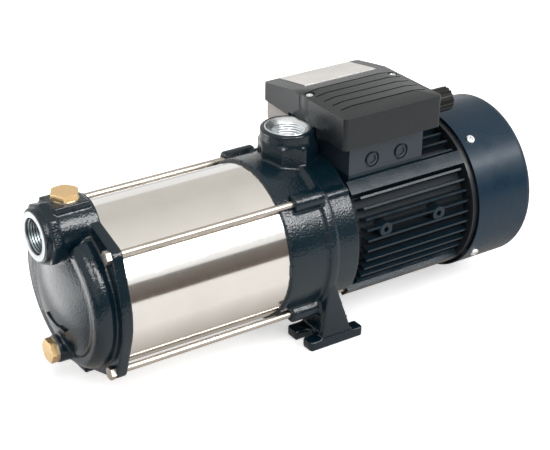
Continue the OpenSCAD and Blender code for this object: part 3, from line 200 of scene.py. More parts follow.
def noise_node(tree, vector, scale, detail, roughness):
    """A noise texture; scale is a number or a socket."""
    node = tree.nodes.new("ShaderNodeTexNoise")
    node.inputs["Detail"].default_value = detail
    node.inputs["Roughness"].default_value = roughness
    feed(tree, node.inputs["Scale"], scale)
    tree.links.new(vector, node.inputs["Vector"])
    return node.outputs["Fac"]


def stretched(tree, vector, stretch):
    """The coordinates scaled along X, Y and Z, which stretches a pattern."""
    node = tree.nodes.new("ShaderNodeMapping")
    node.inputs["Scale"].default_value = stretch
    tree.links.new(vector, node.inputs["Vector"])
    return node.outputs["Vector"]


def spread(tree, value, low, high, to_low, to_high):
    """Maps a value from one range to another, without going past the ends."""
    node = tree.nodes.new("ShaderNodeMapRange")
    node.inputs["From Min"].default_value = low
    node.inputs["From Max"].default_value = high
    feed(tree, node.inputs["To Min"], to_low)
    feed(tree, node.inputs["To Max"], to_high)
    tree.links.new(value, node.inputs["Value"])
    return node.outputs["Result"]


def mix_colours(tree, factor, first, second):
    """Goes from the first colour to the second; each is a colour or a socket."""
    node = tree.nodes.new("ShaderNodeMix")
    node.data_type = "RGBA"
    tree.links.new(factor, node.inputs[MIX_FACTOR])
    feed(tree, node.inputs[MIX_FIRST], first)
    feed(tree, node.inputs[MIX_SECOND], second)
    return node.outputs[MIX_RESULT]


# %% [markdown]
# The first group is the grain of a sand casting under paint. A photograph of real iron
# could be wrapped round the piece, but noise has no seams and fits every form. Coarse
# soft noise makes the pebbles that sand leaves, and a broader one the runs of paint.

# %% Group: cast grain
FLOAT, COLOUR, VECTOR = "NodeSocketFloat", "NodeSocketColor", "NodeSocketVector"
RUNS_SCALE = 60.0
SAND_SHARE, RUNS_SHARE = 0.6, 0.25

cast_grain, start, end = new_group(
    "cast_grain",
    [("Vector", VECTOR, None), ("Sand", FLOAT, 700.0)],
    [("Height", FLOAT), ("Patches", FLOAT)],
)
sand = noise_node(cast_grain, start.outputs["Vector"], start.outputs["Sand"],
                  detail=1.5, roughness=0.45)
runs = noise_node(cast_grain, start.outputs["Vector"], RUNS_SCALE, detail=2.0, roughness=0.5)
height = math_node(cast_grain, "ADD", math_node(cast_grain, "MULTIPLY", sand, SAND_SHARE),
                   math_node(cast_grain, "MULTIPLY", runs, RUNS_SHARE))
cast_grain.links.new(height, end.inputs["Height"])
cast_grain.links.new(spread(cast_grain, runs, 0.35, 0.65, 0.0, 1.0), end.inputs["Patches"])
print("group:", cast_grain.name)

# %% [markdown]
# Metal that was turned, drawn or polished keeps very fine lines. They are noise that is
# stretched in one direction. The same group serves the barrel, the rods and the plugs,
# each with its own stretch, and without a stretch it is the fine grain of plastic.

# %% Group: fine lines
fine_lines, start, end = new_group(
    "fine_lines",
    [("Vector", VECTOR, None), ("Scale", FLOAT, 200.0), ("Low", FLOAT, 0.1),
     ("High", FLOAT, 0.2)],
    [("Roughness", FLOAT), ("Height", FLOAT)],
)
lines = noise_node(fine_lines, start.outputs["Vector"], start.outputs["Scale"],
                   detail=5.0, roughness=0.65)
fine_lines.links.new(
    spread(fine_lines, lines, 0.3, 0.7, start.outputs["Low"], start.outputs["High"]),
    end.inputs["Roughness"])
fine_lines.links.new(lines, end.inputs["Height"])
print("group:", fine_lines.name)

# %% [markdown]
# Handling and dust change a surface a little from place to place. This group mixes a
# colour with a second one in soft clouds, so that no surface is one flat colour.

# %% Group: soft clouds
soft_clouds, start, end = new_group(
    "soft_clouds",
    [("Vector", VECTOR, None), ("Scale", FLOAT, 25.0), ("Colour", COLOUR, None),
     ("Second", COLOUR, None)],
    [("Colour", COLOUR)],
)
clouds = noise_node(soft_clouds, start.outputs["Vector"], start.outputs["Scale"],
                    detail=4.0, roughness=0.55)
blend = mix_colours(soft_clouds, spread(soft_clouds, clouds, 0.35, 0.7, 0.0, 1.0),
                    start.outputs["Colour"], start.outputs["Second"])
soft_clouds.links.new(blend, end.inputs["Colour"])
print("group:", soft_clouds.name)

# %% [markdown]
# Each material starts from the Principled shader. Constant values go on the shader's own
# sockets, and only what changes over the surface is linked. All patterns are read from
# Object coordinates, in metres, so they keep their real size on every piece.

# %% Material helpers
def new_material(name, **values):
    """A material with its Principled shader and its Object coordinates."""
    material = bpy.data.materials.new(name)
    material.use_nodes = True
    tree = material.node_tree
    shader = tree.nodes["Principled BSDF"]
    for key, value in values.items():
        shader.inputs[key.replace("_", " ")].default_value = value
    coords = tree.nodes.new("ShaderNodeTexCoord").outputs["Object"]
    return material, tree, shader, coords


def nodes_of(material):
    """The tree, the shader and the Object coordinates of a finished material."""
    tree = material.node_tree
    coords = tree.nodes["Texture Coordinate"].outputs["Object"]
    return tree, tree.nodes["Principled BSDF"], coords


def source_of(socket):
    """The socket that is linked to this one."""
    return socket.links[0].from_socket


def place_group(tree, group, vector, **values):
    """Places a node group, with its coordinates linked and its values set."""
    node = tree.nodes.new("ShaderNodeGroup")
    node.node_tree = group
    tree.links.new(vector, node.inputs["Vector"])
    for key, value in values.items():
        feed(tree, node.inputs[key], value)
    return node


def add_tint(tree, shader, coords, scale, colour, second):
    """Gives the surface soft clouds of two close colours."""
    tint = place_group(tree, soft_clouds, coords, Scale=scale, Colour=colour, Second=second)
    tree.links.new(tint.outputs["Colour"], shader.inputs["Base Color"])


def add_bump(tree, shader, height, distance):
    """A bump of that real height, in metres."""
    bump = tree.nodes.new("ShaderNodeBump")
    bump.inputs["Distance"].default_value = distance
    bump.inputs["Strength"].default_value = 1.0
    tree.links.new(height, bump.inputs["Height"])
    tree.links.new(bump.outputs["Normal"], shader.inputs["Normal"])


def painted(name, colour, second, rough, grain, sand, gloss=0.5):
    """Gloss paint over metal: two close colours, a rough range and a grain height."""
    material, tree, shader, coords = new_material(name, Specular_IOR_Level=gloss)
    add_tint(tree, shader, coords, 18.0, colour, second)
    skin = place_group(tree, cast_grain, coords, Sand=sand)
    tree.links.new(spread(tree, skin.outputs["Patches"], 0.0, 1.0, *rough),
                   shader.inputs["Roughness"])
    add_bump(tree, shader, skin.outputs["Height"], grain)
    return material


def lined(tree, shader, vector, scale, rough, height):
    """Lets fine lines, or a fine grain, set the roughness and a bump."""
    lines = place_group(tree, fine_lines, vector, Scale=scale, Low=rough[0], High=rough[1])
    tree.links.new(lines.outputs["Roughness"], shader.inputs["Roughness"])
    add_bump(tree, shader, lines.outputs["Height"], height)


def bare_metal(name, colour, second, rough, stretch, scale, height=0.00001):
    """Metal with fine lines along the axes where stretch is 1."""
    material, tree, shader, coords = new_material(name, Metallic=1.0)
    add_tint(tree, shader, coords, 30.0, colour, second)
    lined(tree, shader, stretched(tree, coords, stretch), scale, rough, height)
    return material


def moulded(name, colour, second, rough, height, scale=1400.0, **values):
    """Moulded plastic, rubber or ceramic: a fine even grain and a soft shine."""
    material, tree, shader, coords = new_material(name, **values)
    add_tint(tree, shader, coords, 22.0, colour, second)
    lined(tree, shader, coords, scale, rough, height)
    return material


# %% [markdown]
# The castings are thick iron under dark blue-grey gloss paint. The paint follows the
# sand's grain, which breaks the highlights into many small points. The motor frame is
# die cast and smoother, and the fan cover is pressed sheet, smoother still.

# %% Paints
casting_paint = painted("casting_paint", (0.002, 0.010, 0.016), (0.004, 0.014, 0.021),
                        rough=(0.13, 0.19), grain=0.0005, sand=560.0, gloss=0.42)
frame_paint = painted("frame_paint", (0.003, 0.012, 0.020), (0.0035, 0.0133, 0.0218),
                      rough=(0.26, 0.38), grain=0.0002, sand=500.0, gloss=0.35)
cover_paint = painted("cover_paint", (0.004, 0.018, 0.034), (0.0045, 0.0195, 0.036),
                      rough=(0.26, 0.34), grain=0.00003, sand=900.0, gloss=0.26)
shield_paint = painted("shield_paint", (0.006, 0.008, 0.011), (0.009, 0.011, 0.015),
                       rough=(0.34, 0.46), grain=0.0001, sand=700.0)
print("paints:", [material.name for material in bpy.data.materials])

# %% [markdown]
# Between the fins of the motor the paint is duller, and its colour is darkened as painted
# shade, for the little light that reaches the bottom of the gaps. The distance from the
# shaft's axis says how deep in a gap a point is, and it darkens the colour and roughens the
# surface there.

# %% Painted shade and dull paint between the fins
GAP_R, TIP_R = 61.0 * MM, 66.5 * MM
GAP_SHADE_COLOUR = (0.0016, 0.006, 0.010)
GAP_ROUGH = 0.75

tree, shader, coords = nodes_of(frame_paint)
offset = tree.nodes.new("ShaderNodeMapping")
offset.inputs["Location"].default_value = (0, 0, -SHAFT_Z)
offset.inputs["Scale"].default_value = (0, 1, 1)
tree.links.new(coords, offset.inputs["Vector"])
radius = tree.nodes.new("ShaderNodeVectorMath")
radius.operation = "LENGTH"
tree.links.new(offset.outputs["Vector"], radius.inputs[0])
depth = spread(tree, radius.outputs["Value"], GAP_R, TIP_R, 0.0, 1.0)
# Painted shade: the colour goes towards a near black at the bottom of the gaps.
colour = mix_colours(tree, depth, GAP_SHADE_COLOUR, source_of(shader.inputs["Base Color"]))
rough = spread(tree, depth, 0.0, 1.0, GAP_ROUGH, source_of(shader.inputs["Roughness"]))
tree.links.new(colour, shader.inputs["Base Color"])
tree.links.new(rough, shader.inputs["Roughness"])
print("gaps: dull within", GAP_R / MM, "mm of the axis, glossy from", TIP_R / MM, "mm")

# %% [markdown]
# The barrel is stainless steel, polished round its axis. Its lines run round the barrel,
# so the pattern is squeezed along X and left long across. The rods are drawn wire and
# their lines run along X.

# %% Metals
AROUND = (14.0, 1.0, 1.0)
ALONG = (1.0, 16.0, 16.0)
EVEN = (1.0, 1.0, 1.0)

barrel_steel = bare_metal("barrel_steel", (0.80, 0.78, 0.75), (0.76, 0.74, 0.71),
                          (0.07, 0.15), AROUND, 60.0, height=0.000004)
rod_steel = bare_metal("rod_steel", (0.54, 0.50, 0.45), (0.46, 0.42, 0.37),
                       (0.30, 0.40), ALONG, 60.0, height=0.000001)
zinc = bare_metal("zinc", (0.86, 0.89, 0.90), (0.74, 0.78, 0.80), (0.24, 0.40), EVEN, 300.0)
brass = bare_metal("brass", (0.88, 0.62, 0.32), (0.84, 0.58, 0.29),
                   (0.24, 0.32), EVEN, 160.0, height=0.000003)
# A darker copy of the turned metal, for the suction port's face: painted shade, so that it
# mirrors less of the bright card on the floor at the left end.
shaded_turned_face = bare_metal("shaded_turned_face", (0.27, 0.28, 0.285), (0.22, 0.23, 0.235),
                         (0.40, 0.50), EVEN, 300.0)
stage_steel = bare_metal("stage_steel", (0.62, 0.62, 0.61), (0.52, 0.52, 0.52),
                         (0.22, 0.38), AROUND, 80.0)
bearing_steel = bare_metal("bearing_steel", (0.70, 0.70, 0.71), (0.62, 0.62, 0.63),
                           (0.10, 0.20), AROUND, 120.0)
cage_brass = bare_metal("cage_brass", (0.60, 0.42, 0.18), (0.50, 0.35, 0.15),
                        (0.30, 0.45), EVEN, 200.0)
washer_metal = bare_metal("washer_metal", (0.70, 0.69, 0.67), (0.58, 0.57, 0.55),
                          (0.32, 0.48), EVEN, 250.0)
# A darker blue-grey copy of the thread metal, for the suction port's thread: painted shade in
# the bore, so that it mirrors less of the bright card on the floor.
shaded_thread_steel = bare_metal("shaded_thread_steel", (0.36, 0.42, 0.44), (0.22, 0.27, 0.29),
                          (0.26, 0.40), EVEN, 300.0)
plate_metal = bare_metal("plate_metal", (0.80, 0.78, 0.75), (0.70, 0.68, 0.65),
                         (0.34, 0.48), ALONG, 40.0)
print("paints and metals:", len(bpy.data.materials))

# %% [markdown]
# The electrical steel of stator and rotor is a stack of thin sheets. A wave pattern
# along X draws their edges. The winding heads are bundles of varnished copper wire, and
# diagonal waves stand for the wires, which cross each other there.

# %% Stacked sheets and wires
def banded(name, colour, second, metallic, rough, bands, direction, height):
    """Fine parallel bands in one direction, for sheets or wires."""
    material, tree, shader, coords = new_material(name, Metallic=metallic, Roughness=rough)
    wave = tree.nodes.new("ShaderNodeTexWave")
    wave.bands_direction = direction
    wave.inputs["Scale"].default_value = bands
    wave.inputs["Distortion"].default_value = 0.6
    tree.links.new(coords, wave.inputs["Vector"])
    tint = mix_colours(tree, wave.outputs["Fac"], colour, second)
    tree.links.new(tint, shader.inputs["Base Color"])
    add_bump(tree, shader, wave.outputs["Fac"], height)
    return material


lamination = banded("lamination", (0.10, 0.10, 0.11), (0.20, 0.20, 0.21),
                    metallic=0.8, rough=0.42, bands=300.0, direction="X", height=0.0001)
rotor_metal = banded("rotor_metal", (0.42, 0.42, 0.43), (0.55, 0.55, 0.56),
                     metallic=0.9, rough=0.34, bands=300.0, direction="X", height=0.0001)
copper_wire = banded("copper_wire", (0.30, 0.10, 0.035), (0.55, 0.22, 0.08),
                     metallic=0.6, rough=0.30, bands=220.0, direction="DIAGONAL",
                     height=0.0004)
print("banded:", lamination.name, rotor_metal.name, copper_wire.name)

# %% [markdown]
# The lid is charcoal plastic with a fine eroded grain and a satin shine. The base under
# it is blue-grey and smoother. Rubber seals, ceramic and the plastics inside the pump
# are made in the same way, each with its own colours and grain.

# %% Plastics and rubbers
lid_plastic = moulded("lid_plastic", (0.006, 0.0085, 0.011), (0.0075, 0.0105, 0.0135),
                      (0.26, 0.31), 0.00002, Specular_IOR_Level=0.42)
gland_plastic = moulded("gland_plastic", (0.005, 0.005, 0.005), (0.009, 0.009, 0.008),
                        (0.36, 0.48), 0.00005, Specular_IOR_Level=0.2)
fan_plastic = moulded("fan_plastic", (0.014, 0.014, 0.015), (0.022, 0.022, 0.024),
                      (0.42, 0.58), 0.00006)
rubber = moulded("rubber", (0.012, 0.012, 0.012), (0.022, 0.021, 0.020),
                 (0.62, 0.80), 0.00008, scale=900.0)
impeller_plastic = moulded("impeller_plastic", (0.72, 0.68, 0.56), (0.64, 0.60, 0.49),
                           (0.34, 0.48), 0.00004)
ceramic = moulded("ceramic", (0.82, 0.80, 0.75), (0.76, 0.74, 0.70), (0.12, 0.22), 0.00001)
board_plastic = moulded("board_plastic", (0.11, 0.035, 0.015), (0.15, 0.05, 0.02),
                        (0.40, 0.55), 0.00005)
can_plastic = moulded("can_plastic", (0.60, 0.58, 0.53), (0.55, 0.53, 0.48),
                      (0.34, 0.46), 0.00003)
box_plastic = moulded("box_plastic", (0.014, 0.024, 0.036), (0.018, 0.029, 0.042),
                      (0.34, 0.46), 0.00004)
print("materials:", len(bpy.data.materials))

# %% [markdown]
# At the far side the box's base carries the case of the capacitor, and it is one moulding
# with the base. It could be a piece of its own, but it is one moulding with the base, so
# a mask on Object coordinates changes the colour there. From there on, a mask on Object
# coordinates turns the base's colour to a pale warm grey.

# %% Pale warm grey at the far side of the base
CASE_SIDE_Y = 19.6 * MM
PALE_FAR_COLOUR = (0.44, 0.40, 0.37)

tree, shader, coords = nodes_of(box_plastic)
where = tree.nodes.new("ShaderNodeSeparateXYZ")
tree.links.new(coords, where.inputs[0])
beyond = math_node(tree, "GREATER_THAN", where.outputs["Y"], CASE_SIDE_Y)
# Beyond this y the base's colour is a pale warm grey.
pale_far_tint = mix_colours(tree, beyond, source_of(shader.inputs["Base Color"]), PALE_FAR_COLOUR)
tree.links.new(pale_far_tint, shader.inputs["Base Color"])
print("the case starts at y =", CASE_SIDE_Y / MM, "mm")

# %% [markdown]
# Every node gets its finish from this list. The nodes' own meshes stay as they are.

# %% Finish every node
FINISHES = {
    casting_paint: ["suction_cover", "discharge_casing"],
    frame_paint: ["motor_frame"],
    cover_paint: ["fan_cover"],
    shield_paint: ["rear_end_shield"],
    barrel_steel: ["pump_barrel"],
    rod_steel: ["tie_bolts", "motor_studs", "stud_nuts", "impeller_washer", "impeller_nut",
                "fan_clip", "wave_washer", "shaft", "shaft_sleeve"],
    brass: ["filling_plug", "drain_plug"],
    washer_metal: ["filling_washer", "drain_washer"],
    stage_steel: ["inlet_plate"] + ["diffuser_%d" % k for k in range(1, 6)],
    impeller_plastic: ["impeller_%d" % k for k in range(1, 6)],
    bearing_steel: [end + "_bearing_" + part for end in ("front", "rear")
                    for part in ("outer", "inner", "balls")],
    cage_brass: ["front_bearing_cage", "rear_bearing_cage"],
    ceramic: ["seal_seat"],
    rubber: ["barrel_front_seal", "barrel_rear_seal", "seal_head", "slinger_ring",
             "terminal_box_gasket", "gland_seal"],
    rotor_metal: ["rotor_core"],
    lamination: ["stator_core"],
    copper_wire: ["front_winding", "rear_winding"],
    fan_plastic: ["fan"],
    box_plastic: ["terminal_box_base"],
    lid_plastic: ["terminal_box_lid"],
    plate_metal: ["lid_plate"],
    zinc: ["fan_cover_screws", "lid_screws"],
    board_plastic: ["terminal_board"],
    can_plastic: ["capacitor"],
    gland_plastic: ["gland_body", "gland_nut"],
}
for finish, names in FINISHES.items():
    for name in names:
        nodes[name].data.materials.clear()
        nodes[name].data.materials.append(finish)
bare = [name for name in nodes if not nodes[name].data.materials]
print("nodes without a finish:", bare)

# %% [markdown]
# A sand casting has no sharp edge anywhere: the pattern is rounded so that it leaves the
# sand, and the paint fills the corners. The solid has sharp edges, so each casting gets
# a skin here. A copy of the solid is remeshed with small even faces and then smoothed a
# little, which rounds edges and corners alike, as a real casting has them.

# %% Cast skins
HOUSING = "pump_and_motor"
WELD_DISTANCE = 0.002 * MM
SMOOTH_FACTOR = 0.5
SMOOTH_ROUNDS = 4


def cast_skin(node, voxel):
    """A rounded copy of a casting, which then stands for its node."""
    skin = copy_piece(nodes[node], node + "_skin")
    edit_all(skin)
    bpy.ops.mesh.remove_doubles(threshold=WELD_DISTANCE)
    bpy.ops.object.mode_set(mode="OBJECT")
    apply_modifier(skin, "REMESH", mode="VOXEL", voxel_size=voxel, adaptivity=0.0)
    apply_modifier(skin, "SMOOTH", factor=SMOOTH_FACTOR, iterations=SMOOTH_ROUNDS)
    choose(skin)
    bpy.ops.object.shade_smooth()
    print(skin.name, "faces:", len(skin.data.polygons))
    return skin


for node, voxel, slot in (("suction_cover", 1.05 * MM, "paint"),
                          ("discharge_casing", 1.2 * MM, "paint")):
    skin = cast_skin(node, voxel)
    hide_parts(node)
    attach(skin, HOUSING)

# %% [markdown]
# The motor frame is die cast in a steel mould, so its edges are crisp but never knife
# sharp. A copy of the solid has its flat faces joined to large ones, and then every edge
# gets a bevel a third of a millimetre wide, which catches the light along the fins. The
# lid of the terminal box is moulded and gets the same treatment with a wider bevel.
# Weighted normals keep the large faces flat beside the bevels.

# %% Bevelled motor frame and lid
FLAT_WITHIN = math.radians(1)
BEVEL_FROM = math.radians(35)


def bevelled_copy(node, width):
    """A copy of a moulded or die cast solid with bevelled edges, for its node."""
    twin = copy_piece(nodes[node], node + "_bevelled")
    edit_all(twin)
    bpy.ops.mesh.remove_doubles(threshold=WELD_DISTANCE)
    bpy.ops.mesh.dissolve_limited(angle_limit=FLAT_WITHIN)
    bpy.ops.object.mode_set(mode="OBJECT")
    apply_modifier(twin, "BEVEL", width=width, segments=2, limit_method="ANGLE",
                   angle_limit=BEVEL_FROM, use_clamp_overlap=True)
    smooth_by_angle(twin, degrees=32)
    apply_modifier(twin, "WEIGHTED_NORMAL", keep_sharp=True)
    print(twin.name, "faces:", len(twin.data.polygons))
    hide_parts(node)
    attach(twin, HOUSING)


bevelled_copy("motor_frame", 0.3 * MM)
bevelled_copy("terminal_box_lid", 0.7 * MM)

# %% [markdown]
# Both ports have pipe threads, cut bright through the paint. A thread is drawn here as
# rings: a circle is extruded down a flank and along a flat in turn, narrower and wider
# again. A true helix would need a spun profile and look the same from outside. The rings
# stand inside the solid's bore, and each thread starts a little way down its mouth.

# %% Port threads
PORT_R = 15.15 * MM
THREAD_PITCH = 2.309 * MM
THREAD_DEPTH = 0.9 * MM
THREAD_TURNS = 7
FLANK_SHARE, FLAT_SHARE = 0.36, 0.14
LINING_GAP = 0.3 * MM
LINING_THICKNESS = 0.25 * MM
SUCTION_LEAD, DISCHARGE_LEAD = 2.2 * MM, 3.0 * MM
RING_POINTS = 72


def thread_rings(name, turns, crest, root):
    """A threaded lining round Z, from z = 0 downwards."""
    bpy.ops.object.select_all(action="DESELECT")
    bpy.ops.mesh.primitive_circle_add(vertices=RING_POINTS, radius=root, fill_type="NOTHING")
    lining = start_piece(name)
    edit_all(lining)
    for factor, share in ((crest / root, FLANK_SHARE), (1.0, FLAT_SHARE),
                          (root / crest, FLANK_SHARE), (1.0, FLAT_SHARE)) * turns:
        bpy.ops.mesh.extrude_region_move(
            TRANSFORM_OT_translate={"value": (0, 0, -THREAD_PITCH * share)})
        bpy.ops.transform.resize(value=(factor, factor, 1.0), center_override=(0, 0, 0))
    bpy.ops.object.mode_set(mode="OBJECT")
    apply_modifier(lining, "SOLIDIFY", thickness=LINING_THICKNESS, offset=1.0)
    outward(lining)
    smooth_by_angle(lining, degrees=50)
    return lining


def turn_to(obj, direction, place):
    """Turns a piece's +Z to a direction and moves it, then settles it."""
    turn = Vector((0, 0, 1)).rotation_difference(Vector(direction))
    obj.matrix_world = Matrix.Translation(Vector(place)) @ turn.to_matrix().to_4x4()
    bpy.context.view_layer.update()
    settle(obj)


PORTS = {mount["name"]: mount for mount in frame["record"]["mounts"]}
suction_mouth_x = cad_bounds[0][0]
discharge_face_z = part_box("discharge_casing")[1][2]
discharge_x = PORTS["discharge_port"]["pos_m"][0]
suction_z = PORTS["suction_port"]["pos_m"][2]
suction_start = (suction_mouth_x + SUCTION_LEAD, 0, suction_z)
discharge_start = (discharge_x, 0, discharge_face_z - DISCHARGE_LEAD)
for name, direction, mouth, finish in (
    # The suction thread takes the darker copy of the metal: painted shade.
    ("suction_thread", (-1, 0, 0), suction_start, shaded_thread_steel),
    ("discharge_thread", (0, 0, 1), discharge_start, zinc),
):
    lining = thread_rings(name, THREAD_TURNS, PORT_R - THREAD_DEPTH - LINING_GAP,
                          PORT_R - LINING_GAP)
    turn_to(lining, direction, mouth)
    lining.data.materials.append(finish)
    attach(lining, HOUSING)
    print(name, "faces:", len(lining.data.polygons))

# %% [markdown]
# The faces of both ports are turned after painting, so they are bright rings. Each is a
# circle that is extruded and widened step by step: up the bevel of the mouth, over the
# face and round its edge. Solidify gives it the thickness of a shaving. The upright face
# is as bright as its thread. The axial face and its thread are darker copies of the bright
# metal: painted shade, so that they mirror less of the bright card on the floor at the left
# end.

# %% Bright port faces
RING_THICKNESS = 0.3 * MM
RING_BEVEL = 0.1 * MM


def face_ring(name, steps):
    """A turned ring round Z through these pairs of radius and height."""
    bpy.ops.object.select_all(action="DESELECT")
    bpy.ops.mesh.primitive_circle_add(vertices=RING_POINTS, radius=steps[0][0],
                                      fill_type="NOTHING", location=(0, 0, steps[0][1]))
    ring = start_piece(name)
    settle(ring)
    edit_all(ring)
    for (r0, z0), (r1, z1) in zip(steps, steps[1:]):
        bpy.ops.mesh.extrude_region_move(TRANSFORM_OT_translate={"value": (0, 0, z1 - z0)})
        bpy.ops.transform.resize(value=(r1 / r0, r1 / r0, 1.0), center_override=(0, 0, 0))
    bpy.ops.object.mode_set(mode="OBJECT")
    outward(ring)
    apply_modifier(ring, "SOLIDIFY", thickness=RING_THICKNESS, offset=0.0)
    apply_modifier(ring, "BEVEL", width=RING_BEVEL, segments=2, limit_method="ANGLE")
    outward(ring)
    smooth_by_angle(ring, degrees=40)
    return ring


for name, direction, mouth, face_finish, steps in (
    # The suction face takes the darker copy of the turned metal: painted shade.
    ("suction_face", (-1, 0, 0), (suction_mouth_x, 0, suction_z), shaded_turned_face,
     ((15.2, -1.2), (15.6, 0.0), (20.4, 0.15), (20.9, -0.3))),
    ("discharge_face", (0, 0, 1), (discharge_x, 0, discharge_face_z), zinc,
     ((15.2, -3.0), (19.7, 0.1), (20.4, 0.15), (20.7, -0.2))),
):
    ring = face_ring(name, [(r * MM, z * MM) for r, z in steps])
    turn_to(ring, direction, mouth)
    ring.data.materials.append(face_finish)
    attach(ring, HOUSING)
    print(name, "faces:", len(ring.data.polygons))

# %% [markdown]
# The two closed knock-outs on the box's near side are thin discs inside a groove, with a
# low raised rim that a screwdriver is set against. The rim is a ring with a round back.

# %% Knock-out rims
BOX_SIDE_Y = -45 * MM
RIM_Z = 160 * MM
RIM_PLACES_X = (46.4 * MM, 77.9 * MM)
RIM_STEPS = ((3.9, 0.1), (4.3, 0.7), (5.2, 0.7), (5.6, 0.1))

for number, rim_x in enumerate(RIM_PLACES_X, start=1):
    rim = face_ring("knockout_rim_%d" % number, [(r * MM, z * MM) for r, z in RIM_STEPS])
    turn_to(rim, (0, -1, 0), (rim_x, BOX_SIDE_Y, RIM_Z))
    rim.data.materials.append(box_plastic)
    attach(rim, HOUSING)
    print(rim.name, "faces:", len(rim.data.polygons))

# %% [markdown]
# The fan cover and the lid are held by pan head screws with a cross recess. One screw is
# modelled: a cylinder whose upper edge is bevelled round, whose underside is inset and
# extruded to the shank, and whose head is cut by a cross. The others are copies.

# %% Cross recess screws
HEAD_ROUNDING = 0.62
CROSS_LENGTH, CROSS_WIDTH, CROSS_DEPTH = 1.15, 0.26, 1.3
CROSS_TAPER = 0.45


def pan_head_screw(name, head_r, head_h, shank_r, shank_l):
    """A screw that stands on z = 0, with its shank below."""
    bpy.ops.object.select_all(action="DESELECT")
    bpy.ops.mesh.primitive_cylinder_add(vertices=36, radius=head_r, depth=head_h,
                                        location=(0, 0, head_h / 2))
    screw = start_piece(name)
    settle(screw)
    points = screw.data.vertices
    select_in_edit(screw, "EDGE", lambda edge: all(
        points[index].co.z > head_h * 0.9 for index in edge.vertices))
    bpy.ops.mesh.bevel(offset=head_h * HEAD_ROUNDING, segments=5, affect="EDGES")
    select_in_edit(screw, "FACE", lambda face: face.normal.z < -0.9)
    bpy.ops.mesh.inset(thickness=head_r - shank_r)
    bpy.ops.mesh.extrude_region_move(TRANSFORM_OT_translate={"value": (0, 0, -shank_l)})
    bpy.ops.object.mode_set(mode="OBJECT")
    cutters = []
    for turn in (0, 90):
        bpy.ops.object.select_all(action="DESELECT")
        bpy.ops.mesh.primitive_cube_add(size=1.0, location=(0, 0, head_h))
        cutter = start_piece("cutter")
        cutter.scale = (head_r * CROSS_LENGTH, head_r * CROSS_WIDTH, head_h * CROSS_DEPTH)
        cutter.rotation_euler = (0, 0, math.radians(turn))
        settle(cutter)
        select_in_edit(cutter, "FACE", lambda face: face.normal.z < -0.9)
        bpy.ops.transform.resize(value=(CROSS_TAPER, CROSS_TAPER, 1.0))
        bpy.ops.object.mode_set(mode="OBJECT")
        cutters.append(cutter)
    for cutter in cutters:
        apply_modifier(screw, "BOOLEAN", object=cutter, operation="DIFFERENCE", solver="EXACT")
        bpy.data.objects.remove(cutter)
    smooth_by_angle(screw, degrees=35)
    return screw


def place_copies(model, names, directions, places, node, body, finish):
    """Copies of a piece at these places, which then stand for their node."""
    for name, direction, place in zip(names, directions, places):
        twin = copy_piece(model, name)
        turn_to(twin, direction, place)
        twin.data.materials.clear()
        twin.data.materials.append(finish)
        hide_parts(node)
        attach(twin, body)
    bpy.data.objects.remove(model)


cover_low, cover_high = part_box("fan_cover")
cover_r = (cover_high[1] - cover_low[1]) / 2
screws_low, screws_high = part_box("fan_cover_screws")
cover_screw_x = (screws_low[0] + screws_high[0]) / 2
COVER_SCREW_ANGLES = [math.radians(degrees) for degrees in (36, 126, 216, 306)]
spokes = [(0, math.cos(angle), math.sin(angle)) for angle in COVER_SCREW_ANGLES]
place_copies(
    pan_head_screw("cover_screw", head_r=4.2 * MM, head_h=2.5 * MM,
                   shank_r=1.9 * MM, shank_l=9.0 * MM),
    ["fan_cover_screw_%d" % (k + 1) for k in range(4)], spokes,
    [(cover_screw_x, y * cover_r, SHAFT_Z + z * cover_r) for x, y, z in spokes],
    "fan_cover_screws", HOUSING, zinc)

lid_low, lid_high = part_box("lid_screws")
LID_SCREW_R = 3.6 * MM
LID_SCREW_H = 2.1 * MM
place_copies(
    pan_head_screw("lid_screw", head_r=LID_SCREW_R, head_h=LID_SCREW_H,
                   shank_r=1.9 * MM, shank_l=8.0 * MM),
    ["lid_screw_front", "lid_screw_rear"], [(0, 0, 1)] * 2,
    [(x, 0, lid_high[2] - LID_SCREW_H)
     for x in (lid_low[0] + LID_SCREW_R, lid_high[0] - LID_SCREW_R)],
    "lid_screws", HOUSING, zinc)

# %% [markdown]
# On the dome a raised arrow shows which way the shaft turns. It is a bar with a small
# rectangular section that is spun round a centre, and its end face is widened and drawn
# to a point. It is cast and painted with the cover, so it gets the castings' paint.

# %% Rotation arrow
ARROW_R = 30.0 * MM
ARROW_W = 1.3 * MM
ARROW_H = 2.4 * MM
ARROW_SWEEP = math.radians(43.0)
ARROW_STEPS = 20
ARROW_HEAD_L = 9.5 * MM
ARROW_HEAD_SPREAD = 3.8
ARROW_SHOULDER = 0.05 * MM
ARROW_POINT = 0.06

bpy.ops.object.select_all(action="DESELECT")
bpy.ops.mesh.primitive_plane_add(size=1.0, location=(ARROW_R, 0, 0),
                                 rotation=(math.pi / 2, 0, 0))
arrow = start_piece("rotation_arrow")
arrow.scale = (ARROW_W, ARROW_H, 1.0)
settle(arrow)
edit_all(arrow)
bpy.ops.mesh.spin(steps=ARROW_STEPS, angle=-ARROW_SWEEP, center=(0, 0, 0), axis=(0, 0, 1))
bpy.ops.object.mode_set(mode="OBJECT")
tip = Vector((math.cos(ARROW_SWEEP), math.sin(ARROW_SWEEP), 0)) * ARROW_R
forward = Vector((-math.sin(ARROW_SWEEP), math.cos(ARROW_SWEEP), 0))
point = tip + forward * ARROW_HEAD_L
count = select_in_edit(arrow, "FACE", lambda face: (face.center - tip).length < ARROW_W * 0.6
                       and abs(face.normal.dot(forward)) > 0.9)
bpy.ops.mesh.extrude_region_move(
    TRANSFORM_OT_translate={"value": tuple(forward * ARROW_SHOULDER)})
bpy.ops.transform.resize(value=(ARROW_HEAD_SPREAD, ARROW_HEAD_SPREAD, 1.0),
                         center_override=tuple(tip))
